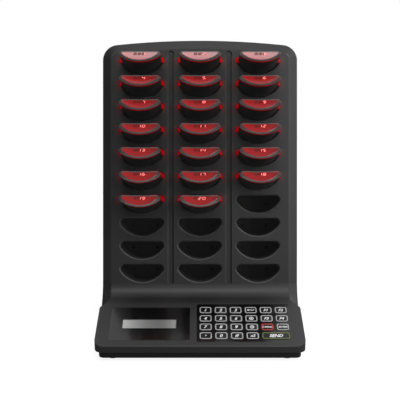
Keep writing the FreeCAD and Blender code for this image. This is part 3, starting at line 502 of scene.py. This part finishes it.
def rubber(name, tint):
    """Matt rubber with a little dust on it."""
    def build(finish):
        fine = finish.noise(0.35 * MM, 3.0, 0.7)
        dust = finish.noise(3 * MM, 4.0).ramp(0.55, 0.8)
        return {
            "Base Color": finish.mix(dust * 0.3, tint, (0.06, 0.058, 0.055)),
            "Roughness": 0.72 + 0.2 * fine,
            "Normal": finish.bump(fine, 0.05 * MM, 0.6, 0.5 * MM),
        }
    return shader(name, build)


def metal(name, tint, rough, size):
    """Plated or blackened metal with fine turning marks."""
    def build(finish):
        mark = finish.noise(size, 3.0, 0.6, (1.0, 1.0, 8.0))
        stain = finish.noise(6 * size, 3.0)
        return {
            "Base Color": finish.mix(stain.ramp(0.4, 0.8) * 0.6, tint, lighter(tint, 0.6)),
            "Roughness": rough + 0.18 * mark,
            "Normal": finish.bump(mark, 0.02 * MM, 0.4, 0.15 * MM),
        }
    return shader(name, build, Metallic=1.0)


def circuit_board(name):
    """Green solder mask with copper tracks below it and tinned pads."""
    def build(finish):
        weave = finish.noise(0.6 * MM, 2.0)
        lane = finish.noise(9 * MM, 0.0)
        track = lane.ramp(0.48, 0.5) * lane.ramp(0.54, 0.52)
        pad = finish.noise(2.2 * MM, 0.0).ramp(0.72, 0.73)
        mask = finish.mix(track, (0.012, 0.075, 0.028), (0.03, 0.15, 0.05))
        return {
            "Base Color": finish.mix(pad, mask, (0.62, 0.6, 0.55)),
            "Metallic": pad,
            "Roughness": 0.32 + 0.15 * weave + 0.1 * pad,
            "Normal": finish.bump(track + pad, 0.05 * MM, 0.5),
        }
    return shader(name, build)


def display_glass(name):
    """Grey reflective display: fine dots, and painted light that makes it brighter at its ends and at its
    left and makes it glow.
    """
    middle = -52.7 * MM
    half_width = 27.8 * MM

    def build(finish):
        x = finish.axes(finish.place())[0]
        span = (x - middle) / half_width
        ends = (span * span).ramp(0.05, 1.1)
        left = span.ramp(0.4, -1.0)
        dots = finish.noise(0.35 * MM, 0.0)
        # Painted light: brighter at both ends and to the left.
        painted_brightness = (ends * 0.45 + left * 0.45).least(1.0)
        tone = finish.mix(painted_brightness, (0.16, 0.16, 0.158), (0.7, 0.7, 0.69))
        tone = finish.mix(dots * 0.12, tone, (0.1, 0.1, 0.1))
        return {"Base Color": tone, "Emission Color": tone, "Roughness": 0.3 + 0.1 * dots}
    # The emission is a painted glow of the display.
    return shader(name, build, Emission_Strength=0.22)


def clear_acrylic(name):
    """Thin clear window with faint wiping marks."""
    def build(finish):
        wipe = finish.noise(9 * MM, 3.0)
        return {
            "Base Color": finish.mix(wipe, (0.1, 0.1, 0.1), (0.16, 0.16, 0.16)),
            "Alpha": 0.1 + 0.04 * wipe,
            "Roughness": 0.05 + 0.04 * wipe,
        }
    return shader(name, build)


def dress(material, *nodes):
    """Gives CAD nodes a material."""
    for node in nodes:
        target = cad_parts[node]
        for index in range(max(1, len(target.material_slots))):
            if index >= len(target.material_slots):
                target.data.materials.append(material)
            else:
                target.material_slots[index].material = material


# --- modelling -------------------------------------------------------------------------

def deselect():
    active = bpy.context.view_layer.objects.active
    if active and active.mode != "OBJECT":
        bpy.ops.object.mode_set(mode="OBJECT")
    bpy.ops.object.select_all(action="DESELECT")


def edit(mode):
    """Enters edit mode, to select VERT, EDGE or FACE."""
    bpy.ops.object.mode_set(mode="EDIT")
    bpy.ops.mesh.select_mode(type=mode)


def pick(kind, test):
    """In edit mode, selects just the verts, edges or faces that pass the test."""
    mesh = bmesh.from_edit_mesh(bpy.context.object.data)
    for group in (mesh.faces, mesh.edges, mesh.verts):
        for part in group:
            part.select_set(False)
    chosen = [part for part in getattr(mesh, kind) if test(part)]
    for part in chosen:
        part.select_set(True)
    if not chosen:
        raise RuntimeError("nothing to select in " + bpy.context.object.name)
    bmesh.update_edit_mesh(bpy.context.object.data)


def middle_of(part):
    total = Vector()
    for vertex in part.verts:
        total += vertex.co
    return total / len(part.verts)


def finish_piece(name, smooth=30.0):
    """Ends edit mode: normals outward, smooth shading by angle, and a clean transform."""
    bpy.ops.mesh.select_all(action="SELECT")
    bpy.ops.mesh.remove_doubles(threshold=0.002 * MM)
    bpy.ops.mesh.normals_make_consistent(inside=False)
    bpy.ops.object.mode_set(mode="OBJECT")
    bpy.ops.object.transform_apply(location=True, rotation=True, scale=True)
    bpy.ops.object.shade_smooth_by_angle(angle=math.radians(smooth))
    piece = bpy.context.object
    piece.name = name
    return piece


def corner_profile(turn):
    """Bevel profile that makes a round arc where the outline turns by this angle."""
    bulge = math.cos(turn / 2) / (1 + math.cos(turn / 2))
    return ((1 + bulge) / 2) ** 2


def d_plate(width, height, corner, arc_steps=36, corner_steps=7):
    """Flat D in XY, straight edge on Y = 0: a triangle whose corners are rounded."""
    side = width / 2 - corner
    big = (side ** 2 + (height - corner) ** 2 - corner ** 2) / (2 * (height - 2 * corner))
    out = Vector((side, height - corner - big)).normalized()
    join = Vector((side, -corner)) + corner * out
    reach = out.dot(join)
    bottom = reach / out.y
    top = reach / out.x
    deselect()
    bpy.ops.mesh.primitive_circle_add(
        vertices=3, radius=1.0, fill_type="NGON", location=(0, bottom / 3, 0),
        rotation=(0, 0, math.pi))
    bpy.context.object.scale = (top / math.cos(math.pi / 6), -bottom / 1.5, 1)
    bpy.ops.object.transform_apply(location=True, rotation=True, scale=True)
    edit("VERT")
    lower = math.hypot(join.x, join.y - bottom)
    upper = top - side
    slack = 0.999
    half_turn = math.atan2(out.x, -out.y)
    pick("verts", lambda vertex: vertex.co.y < bottom / 2)
    bpy.ops.mesh.bevel(affect="VERTICES", offset=lower * slack, segments=arc_steps,
                       profile=corner_profile(2 * half_turn))
    pick("verts", lambda vertex: abs(vertex.co.x) > top * 0.98)
    bpy.ops.mesh.bevel(affect="VERTICES", offset=upper * slack, segments=corner_steps,
                       profile=corner_profile(math.pi - half_turn))
    bpy.ops.mesh.select_all(action="SELECT")
    bpy.ops.mesh.remove_doubles(threshold=0.1 * MM)


def move(x=0.0, y=0.0, z=0.0):
    bpy.ops.transform.translate(value=(x, y, z))


def extrude(vector):
    bpy.ops.mesh.extrude_region_move(TRANSFORM_OT_translate={"value": tuple(vector)})


def resize(x, y, z, centre):
    bpy.ops.transform.resize(value=(x, y, z), center_override=tuple(centre))


def case_body():
    """Pager case without its rim: a D bar that narrows to its smaller, leaning end."""
    d_plate(PAGER_W, END_H, END_CORNER)
    bpy.ops.mesh.delete(type="ONLY_FACE")
    end = finish_piece("end")
    end.data.transform(PAGER_END)
    d_plate(PAGER_W, PAGER_H, PAGER_CORNER)
    move(0, PAGER_TOP, PAGER_REAR)
    extrude((0, 0, PAGER_NECK - PAGER_REAR))
    bpy.ops.mesh.delete(type="ONLY_FACE")
    join_pieces([finish_piece("bar"), end], "case_body")
    edit("EDGE")
    pick("edges", lambda edge: len(edge.link_faces) < 2)
    bpy.ops.mesh.bridge_edge_loops()
    pick("edges", lambda edge: len(edge.link_faces) < 2)
    bpy.ops.mesh.edge_face_add()


def end_depth(point):
    """Distance of a point behind the plane of the pager's end."""
    return (PAGER_END.translation - point).dot(END_OUT)


def cut_end(depth, keep_behind):
    """Bisects the piece parallel to the pager's end and closes it."""
    bpy.ops.mesh.select_all(action="SELECT")
    point = PAGER_END.translation - END_OUT * depth
    bpy.ops.mesh.bisect(plane_co=point, plane_no=END_OUT, use_fill=True,
                        clear_outer=keep_behind, clear_inner=not keep_behind)


def cut(point, normal):
    """Removes what lies beyond the plane and closes the piece."""
    bpy.ops.mesh.select_all(action="SELECT")
    bpy.ops.mesh.bisect(plane_co=point, plane_no=normal, use_fill=True, clear_outer=True)


def stand_in_place(master, name, place, body, materials, replaced=()):
    """Own copy of a master piece, moved to its place, riding on its body."""
    mesh = master.data.copy()
    mesh.transform(place)
    for material in materials:
        mesh.materials.append(material)
    piece = bpy.data.objects.new(name, mesh)
    mesh.name = name
    bpy.context.scene.collection.objects.link(piece)
    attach(piece, body)
    if replaced:
        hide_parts(*replaced)
    return piece


def discard(piece):
    bpy.data.objects.remove(piece, do_unlink=True)


def join_pieces(pieces, name):
    deselect()
    for piece in pieces:
        piece.select_set(True)
    bpy.context.view_layer.objects.active = pieces[0]
    bpy.ops.object.join()
    joined = bpy.context.object
    joined.name = name
    return joined


def pager_places():
    """Number, body and place of each pager, left to right and top to bottom."""
    for index in range(PAGER_COUNT):
        row, column = divmod(index, COLUMNS)
        across = (column - (COLUMNS - 1) / 2) * COLUMN_PITCH
        up = LOWEST_TOP + (ROWS - 1 - row) * ROW_PITCH
        place = FACE @ Matrix.Translation((across, up, 0))
        yield index + 1, "pager_%02d" % (index + 1), place


def key_places():
    """Node, legend, legend height, place on the deck and width of each key."""
    for index, (node, legend, height) in enumerate(KEYS):
        row, column = divmod(index, KEY_COLUMNS)
        across = KEY_FIRST[0] + column * KEY_PITCH[0]
        width = KEY_SIZE[0]
        if node == "send":
            across += KEY_PITCH[0] / 2
            width += KEY_PITCH[0]
        down = KEY_FIRST[1] + row * KEY_PITCH[1]
        place = DECK @ Matrix.Translation((across, -down, KEY_TOP))
        yield node, legend, height * MM, place, width


# --- operators ---------------------------------------------------------------------------

class DOCK_OT_mouldings(Operator):
    """Finish the housing, the covers, the charging cups and the feet"""
    bl_idname = "dock.mouldings"
    bl_label = "Mouldings"

    def execute(self, context):
        look = context.scene.dock_shell
        # The shell's marks are painted shade, painted highlights and a painted red glow, shown through
        # its emission.
        shell = moulded("spark textured shell", look.shell, look.gloss, look.grain, look.edge,
                        light=1.0, marks=housing_marks)
        dress(shell, "front_housing")
        dress(moulded("plain cover", look.shell, look.gloss, look.grain, look.edge),
              "rear_cover")
        dress(moulded("plain base", look.base, 0.5, look.grain, look.edge), "bottom_cover")
        # The cups carry a faint painted glow that lifts their dark depth.
        dress(moulded("charging cup", look.cup, 0.55, look.grain, 0.0, 0.03, look.haze),
              "charging_cups")
        dress(rubber("foot rubber", (0.012, 0.012, 0.012)), "rubber_feet", "dome_mat")
        return {"FINISHED"}


class DOCK_OT_electrics(Operator):
    """Finish the boards, contacts, screws and power inlet"""
    bl_idname = "dock.electrics"
    bl_label = "Electrics"

    def execute(self, context):
        dress(circuit_board("circuit board"), "charging_board", "main_board",
              "transmitter_board")
        # The contacts' tint is darkened to paint the shade they lie in at the back of the cups.
        dress(metal("gold contact", (0.09, 0.07, 0.045), 0.55, 0.4 * MM), "charging_contacts")
        dress(metal("blackened screw", (0.09, 0.09, 0.095), 0.35, 0.5 * MM), "case_screws")
        dress(moulded("inlet plastic", (0.01, 0.01, 0.01), 0.4, 0.5 * MM, 0.2 * MM, 0.02),
              "dc_inlet")
        return {"FINISHED"}


class DOCK_OT_deck_panels(Operator):
    """Finish the glossy panels, the display and the keys"""
    bl_idname = "dock.deck_panels"
    bl_label = "Deck panels"

    def execute(self, context):
        look = context.scene.dock_shell
        dress(glossy_panel("polished panel", look.panel), "keypad_bezel", "display_bezel")
        dress(display_glass("display glass"), "lcd_module")
        dress(clear_acrylic("clear window"), "display_window")
        dress(key_plastic("key plastic", look.panel),
              *["key_" + node for node, *_ in key_places()])
        return {"FINISHED"}


class DOCK_OT_key_prints(Operator):
    """Print the outline and the legend on every key"""
    bl_idname = "dock.key_prints"
    bl_label = "Key prints"

    def outline(self, width, height, line):
        """Rounded frame, printed on the key's flat top."""
        corner = 2.3 * MM
        deselect()
        bpy.ops.mesh.primitive_plane_add(size=1.0)
        edit("VERT")
        bpy.ops.mesh.select_all(action="SELECT")
        resize(width, height, 1, (0, 0, 0))
        bpy.ops.mesh.bevel(affect="VERTICES", offset=corner, segments=6)
        bpy.ops.mesh.select_mode(type="FACE")
        bpy.ops.mesh.select_all(action="SELECT")
        bpy.ops.mesh.inset(thickness=line, depth=0.0)
        bpy.ops.mesh.delete(type="FACE")
        bpy.ops.mesh.select_all(action="SELECT")
        extrude((0, 0, PRINT_THICK))
        return finish_piece("outline")

    def legend(self, text, height, slant):
        """Slanted words, centred, with their underside on Z = 0."""
        cap_height = 0.72
        deselect()
        bpy.ops.object.text_add()
        words = bpy.context.object
        words.data.body = text
        words.data.size = height / cap_height
        words.data.shear = slant
        words.data.offset = 0.035 * height
        words.data.extrude = PRINT_THICK / 2
        words.data.resolution_u = 3
        bpy.ops.object.convert(target="MESH")
        words = bpy.context.object
        low = [min(v.co[i] for v in words.data.vertices) for i in range(3)]
        high = [max(v.co[i] for v in words.data.vertices) for i in range(3)]
        centre = Vector([(a + b) / 2 for a, b in zip(low, high)])
        centre.z = low[2]
        words.data.transform(Matrix.Translation(-centre))
        edit("VERT")
        return finish_piece("legend")

    def arrow(self, up):
        """Ring with an arrow head in it."""
        deselect()
        bpy.ops.mesh.primitive_circle_add(vertices=20, radius=2.3 * MM, fill_type="NGON")
        edit("FACE")
        bpy.ops.mesh.select_all(action="SELECT")
        bpy.ops.mesh.inset(thickness=0.7 * MM, depth=0.0)
        bpy.ops.mesh.delete(type="FACE")
        bpy.ops.mesh.select_all(action="SELECT")
        extrude((0, 0, PRINT_THICK))
        ring = finish_piece("ring")
        deselect()
        bpy.ops.mesh.primitive_circle_add(vertices=3, radius=1.3 * MM, fill_type="NGON",
                                          rotation=(0, 0, 0.0 if up else math.pi))
        edit("FACE")
        bpy.ops.mesh.select_all(action="SELECT")
        extrude((0, 0, PRINT_THICK))
        head = finish_piece("head")
        return join_pieces([ring, head], "arrow")

    def execute(self, context):
        look = context.scene.dock_prints
        # The outline and legend inks glow faintly: painted light that brightens the prints.
        lines = {
            "": ink("outline ink", look.line, 0.05),
            "cancel": ink("red outline ink", look.stop, 0.1),
            "send": ink("green outline ink", look.go, 0.05),
        }
        legend_ink = ink("legend ink", look.legend, 0.1)
        margin = 0.4 * MM
        frames = {}
        for node, text, height, place, width in key_places():
            if width not in frames:
                frames[width] = self.outline(width - 2 * margin, KEY_SIZE[1] - 2 * margin,
                                             look.line_width)
            stand_in_place(frames[width], "key_%s_outline" % node, place, "key_" + node,
                           [lines.get(node, lines[""])])
            if text:
                mark = self.legend(text, height, look.slant)
            else:
                mark = self.arrow(node == "up")
            stand_in_place(mark, "key_%s_legend" % node, place, "key_" + node,
                           [legend_ink])
            discard(mark)
        for outline in frames.values():
            discard(outline)
        return {"FINISHED"}


class DOCK_OT_pager_cases(Operator):
    """Model the pager cases with their rims"""
    bl_idname = "dock.pager_cases"
    bl_label = "Pager cases"

    def master(self):
        """Case with its edges rounded. Its faces' materials are the hull, the rim, and the rim's top
        above the lens, a lighter and more glowing copy of the rim that paints a highlight line."""
        top_width = 1.3 * MM
        rim_depth = 0.7 * MM
        case_body()
        bpy.ops.mesh.select_mode(type="FACE")
        pick("edges", lambda edge: all(abs(end_depth(v.co)) < HAIR for v in edge.verts))
        bpy.ops.mesh.bevel(affect="EDGES", offset=0.45 * MM, segments=3)
        pick("edges", lambda edge: all(v.co.z < PAGER_REAR + HAIR for v in edge.verts))
        bpy.ops.mesh.bevel(affect="EDGES", offset=0.8 * MM, segments=2)
        pick("faces", lambda face: abs(end_depth(middle_of(face))) < HAIR)
        bpy.ops.mesh.bisect(plane_co=PAGER_END @ Vector((0, -top_width, 0)),
                            plane_no=PAGER_END.to_3x3() @ Vector((0, 1, 0)))
        piece = finish_piece("case_master")
        to_end = PAGER_END.inverted()
        for face in piece.data.polygons:
            _, up, out = to_end @ Vector(face.center)
            rim = 2 if up > -top_width else 1
            face.material_index = rim if out > -rim_depth else 0
        return piece

    def execute(self, context):
        look = context.scene.dock_pagers
        hull = hull_plastic("pager hull", look.hull)
        rim = rim_plastic("pager rim", look.rim, 0.004)
        # The rim's top is the rim made twice as light and glowing more: a painted highlight line above
        # each lens.
        top = rim_plastic("pager rim top", lighter(look.rim, 2.0), 0.05)
        master = self.master()
        for _, body, place in pager_places():
            stand_in_place(master, body + "_case", place, body, [hull, rim, top],
                           (body,))
        discard(master)
        return {"FINISHED"}


class DOCK_OT_pager_lenses(Operator):
    """Model the translucent lens of each pager"""
    bl_idname = "dock.pager_lenses"
    bl_label = "Pager lenses"

    def master(self, rim_width):
        """Plate sunk in the case's end, with a rounded edge and its own map: -1 to 1
        across, and -1 at the bottom to 0 at its straight edge."""
        sunk, proud, crown = 1.0 * MM, 0.05 * MM, 0.08 * MM
        d_plate(LENS_W, LENS_H, LENS_CORNER)
        move(0, -rim_width, -sunk)
        extrude((0, 0, sunk + proud))
        bpy.ops.mesh.select_mode(type="FACE")
        bpy.ops.mesh.inset(thickness=0.15 * MM, depth=0.0)
        move(0, 0, crown)
        piece = finish_piece("lens_master", 15.0)
        layer = piece.data.uv_layers.new(name="across and up")
        for loop in piece.data.loops:
            co = piece.data.vertices[loop.vertex_index].co
            layer.data[loop.index].uv = (co.x / (LENS_W / 2), (co.y + rim_width) / LENS_H)
        return piece

    def execute(self, context):
        look = context.scene.dock_pagers
        lens = lens_plastic("red lens", look.lens, look.glow)
        master = self.master(look.rim_width)
        for _, body, place in pager_places():
            stand_in_place(master, body + "_lens", place @ PAGER_END, body, [lens])
        discard(master)
        return {"FINISHED"}


class DOCK_OT_pager_lights(Operator):
    """Model the light guides behind each rim and beside each pocket's mouth"""
    bl_idname = "dock.pager_lights"
    bl_label = "Pager lights"

    def ring(self, grow_across, grow_up):
        """Slab of the case just behind its rim, a little larger than the case."""
        front, back = 1.15 * MM, 3.0 * MM
        case_body()
        cut_end(front, True)
        cut_end(back, False)
        bpy.ops.mesh.select_all(action="SELECT")
        resize(1 + 2 * grow_across / PAGER_W, 1 + 2 * grow_up / END_H, 1.0,
               PAGER_END @ Vector((0, -END_H / 2, 0)))

    def band(self):
        """Light guide round the case's sides and belly, and over its two shoulders."""
        belly_top, shoulder_bottom = -3 * MM, -2 * MM
        shoulder_in, shoulder_out = 11 * MM, 19.5 * MM
        self.ring(0.2 * MM, 0.15 * MM)
        cut((0, belly_top, 0), (0, 1, 0))
        pieces = [finish_piece("band")]
        for side in (-1, 1):
            self.ring(0.2 * MM, 0.33 * MM)
            cut((side * shoulder_in, 0, 0), (-side, 0, 0))
            cut((side * shoulder_out, 0, 0), (side, 0, 0))
            cut((0, shoulder_bottom, 0), (0, -1, 0))
            pieces.append(finish_piece("shoulder"))
        return join_pieces(pieces, "band")

    def bars(self):
        """Ends of a light guide across the case, which fill the pocket's shoulders."""
        back, front = -0.4 * MM, 0.5 * MM
        top, bottom = -0.5 * MM, -6.6 * MM
        width = POCKET_W + 1.0 * MM
        d_plate(PAGER_W, PAGER_H, PAGER_CORNER)
        move(0, PAGER_TOP, back)
        extrude((0, 0, front - back))
        bpy.ops.mesh.select_all(action="SELECT")
        resize(width / PAGER_W, 1.0, 1.0, (0, 0, 0))
        cut((0, top, 0), (0, 1, 0))
        cut((0, bottom, 0), (0, -1, 0))
        return finish_piece("bars")

    def execute(self, context):
        look = context.scene.dock_pagers
        dim = glow_plastic("rim light guide", (0.7, 0.006, 0.01), look.strip * 0.74)
        bright = glow_plastic("side light guide", (0.8, 0.0, 0.0), look.strip)
        band = self.band()
        bars = self.bars()
        for _, body, place in pager_places():
            stand_in_place(band, body + "_rim_light", place, body, [dim])
            stand_in_place(bars, body + "_side_lights", place, body, [bright])
        discard(band)
        discard(bars)
        return {"FINISHED"}


class DOCK_OT_pager_digits(Operator):
    """Set each pager's number in its three-digit display"""
    bl_idname = "dock.pager_digits"
    bl_label = "Pager digits"

    def segment(self, digit, width):
        """Upright bar of the display with pointed ends."""
        deselect()
        bpy.ops.mesh.primitive_cube_add(size=1.0)
        edit("EDGE")
        bpy.ops.mesh.select_all(action="SELECT")
        resize(width * digit, 0.42 * digit, 0.05 * MM, (0, 0, 0))
        pick("edges", lambda edge: abs(edge.verts[0].co.z - edge.verts[1].co.z) > HAIR)
        bpy.ops.mesh.bevel(affect="EDGES", offset=0.06 * digit, segments=1)
        return finish_piece("segment")

    def number(self, text, lit, bar, digit):
        """Mesh of the segments that are lit in a number, or of those that aren't."""
        slant = Matrix.Identity(4)
        slant[0][1] = 0.14
        joined = bmesh.new()
        for column, sign in enumerate(text):
            shift = Matrix.Translation(DIGITS_AT)
            shift.translation.x += (column - 1) * DIGIT_PITCH
            for name, (x, y, flat) in SEGMENTS.items():
                if (name in LIT_SEGMENTS.get(sign, "")) != lit:
                    continue
                spot = Matrix.Translation((x * digit, y * digit, 0))
                turn = Matrix.Rotation(math.pi / 2 if flat else 0.0, 4, "Z")
                segment = bar.data.copy()
                segment.transform(shift @ slant @ spot @ turn)
                joined.from_mesh(segment)
                bpy.data.meshes.remove(segment)
        mesh = bpy.data.meshes.new("number")
        joined.to_mesh(mesh)
        joined.free()
        return mesh

    def execute(self, context):
        digit = context.scene.dock_pagers.digit
        lit_ink = ink("lit segment", (1.0, 0.22, 0.2), 1.15)
        dark_ink = ink("dark segment", (0.03, 0.001, 0.001))
        kinds = (
            ("digits", True, lit_ink, self.segment(digit, 0.21)),
            ("unlit", False, dark_ink, self.segment(digit, 0.3)),
        )
        for number, body, place in pager_places():
            text = str(number).rjust(3)
            for label, lit, material, bar in kinds:
                master = bpy.data.objects.new(label, self.number(text, lit, bar, digit))
                stand_in_place(master, "%s_%s" % (body, label), place @ PAGER_END, body,
                               [material])
                discard(master)
        for *_, bar in kinds:
            discard(bar)
        return {"FINISHED"}


class DOCK_OT_studio(Operator):
    """Set up the floor, the light and the camera"""
    bl_idname = "dock.studio"
    bl_label = "Studio"

    def floor(self):
        """Pale floor: white to the camera, and grey to the light that falls on it."""
        deselect()
        bpy.ops.mesh.primitive_plane_add(size=8.0, location=(0, 0, 0))
        ground = bpy.context.object
        ground.name = "floor"
        material = bpy.data.materials.new("white floor")
        material.use_nodes = True
        tree = material.node_tree
        tree.nodes.clear()
        finish = Finish(tree)
        path = tree.nodes.new("ShaderNodeLightPath")
        seen = Value(finish, path.outputs["Is Camera Ray"])
        matt = finish.node("ShaderNodeBsdfDiffuse", inputs={"Color": (0.25, 0.25, 0.25, 1.0)})
        light = finish.node("ShaderNodeEmission", inputs={"Strength": seen * 0.9})
        both = finish.node("ShaderNodeAddShader", inputs={0: matt, 1: light})
        out = tree.nodes.new("ShaderNodeOutputMaterial")
        tree.links.new(both.socket, out.inputs[0])
        ground.data.materials.append(material)

    def world(self, fill):
        """White to the camera, and a plain studio to everything else: darker in front and
        to the left, so that the black mouldings keep their shape."""
        world = bpy.data.worlds.new("studio")
        bpy.context.scene.world = world
        world.use_nodes = True
        tree = world.node_tree
        tree.nodes.clear()
        finish = Finish(tree)
        x, y, z = finish.axes(finish.place("Generated"))
        path = tree.nodes.new("ShaderNodeLightPath")
        camera = Value(finish, path.outputs["Is Camera Ray"])
        glossy = Value(finish, path.outputs["Is Glossy Ray"]).most(
            Value(finish, path.outputs["Is Transmission Ray"]))
        front = y.ramp(0.1, -0.7)
        left = x.ramp(0.0, -0.6)
        room = (1.0 - 0.72 * front) * (1.0 - 0.85 * left)
        overhead = z.ramp(0.6, 0.9) * y.ramp(0.11, 0.085)
        soft = fill * room * (1.0 + 0.35 * z.ramp(0.0, 1.0))
        strength = glossy * room * (1.0 - 0.9 * overhead) + (1.0 - glossy) * soft
        strength = camera + (1.0 - camera) * strength
        light = finish.node("ShaderNodeBackground",
                       inputs={"Color": (1.0, 1.0, 1.0, 1.0), "Strength": strength})
        out = tree.nodes.new("ShaderNodeOutputWorld")
        tree.links.new(light.socket, out.inputs[0])

    def softbox(self, name, place, target, size, power):
        """Rectangular lamp aimed at a target, its power in watts."""
        deselect()
        bpy.ops.object.light_add(type="AREA", location=place)
        lamp = bpy.context.object
        lamp.name = name
        lamp.data.shape = "RECTANGLE"
        lamp.data.size, lamp.data.size_y = size
        lamp.data.energy = power
        aim = Vector(target) - Vector(place)
        lamp.rotation_euler = aim.to_track_quat("-Z", "Y").to_euler()

    def execute(self, context):
        look = context.scene.dock_studio
        self.floor()
        self.world(look.fill)
        self.softbox("right_box", (0.46, -0.46, 0.42), (0, 0, 0.16), (0.3, 0.5), look.right)
        self.softbox("side_box", (0.62, 0.16, 0.74), (0, 0, 0.15), (0.25, 0.25), look.side)
        self.softbox("top_box", (0.0, 0.2, 1.3), (0, 0.1, 0.2), (0.6, 0.18), look.top)
        self.softbox("front_box", (0.0, -0.56, 1.14), (0, -0.03, 0.06), (0.8, 0.3), look.front)
        deselect()
        bpy.ops.object.camera_add()
        camera = bpy.context.object
        camera.name = "camera"
        camera.data.sensor_width = 36.0
        camera.data.lens = look.lens
        camera.data.clip_start = 0.01
        camera.matrix_world = FACE @ Matrix.Translation((0, CAMERA_UP, CAMERA_OUT))
        context.scene.camera = camera
        context.scene.view_settings.view_transform = "Standard"
        return {"FINISHED"}


STEPS = (
    DOCK_OT_mouldings, DOCK_OT_electrics, DOCK_OT_deck_panels, DOCK_OT_key_prints,
    DOCK_OT_pager_cases, DOCK_OT_pager_lenses, DOCK_OT_pager_lights, DOCK_OT_pager_digits,
    DOCK_OT_studio,
)
SETTINGS = (
    ("dock_shell", ShellSettings), ("dock_pagers", PagerSettings),
    ("dock_prints", PrintSettings), ("dock_studio", StudioSettings),
)


class DOCK_PT_sidebar(Panel):
    """Steps and settings of the pager dock"""
    bl_idname = "DOCK_PT_sidebar"
    bl_label = "Pager Dock"
    bl_space_type = "VIEW_3D"
    bl_region_type = "UI"
    bl_category = "Pager Dock"

    def draw(self, context):
        column = self.layout.column()
        for step in STEPS:
            column.operator(step.bl_idname)
        for name, _ in SETTINGS:
            group = getattr(context.scene, name)
            box = self.layout.box()
            for key in group.__annotations__:
                box.prop(group, key)


def register():
    for name, group in SETTINGS:
        bpy.utils.register_class(group)
        setattr(bpy.types.Scene, name, PointerProperty(type=group))
    for step in STEPS:
        bpy.utils.register_class(step)
    bpy.utils.register_class(DOCK_PT_sidebar)


def unregister():
    bpy.utils.unregister_class(DOCK_PT_sidebar)
    for step in reversed(STEPS):
        bpy.utils.unregister_class(step)
    for name, group in reversed(SETTINGS):
        delattr(bpy.types.Scene, name)
        bpy.utils.unregister_class(group)


def main():
    register()
    for step in STEPS:
        family, name = step.bl_idname.split(".")
        getattr(getattr(bpy.ops, family), name)()
    deselect()


if __name__ == "__main__":
    main()
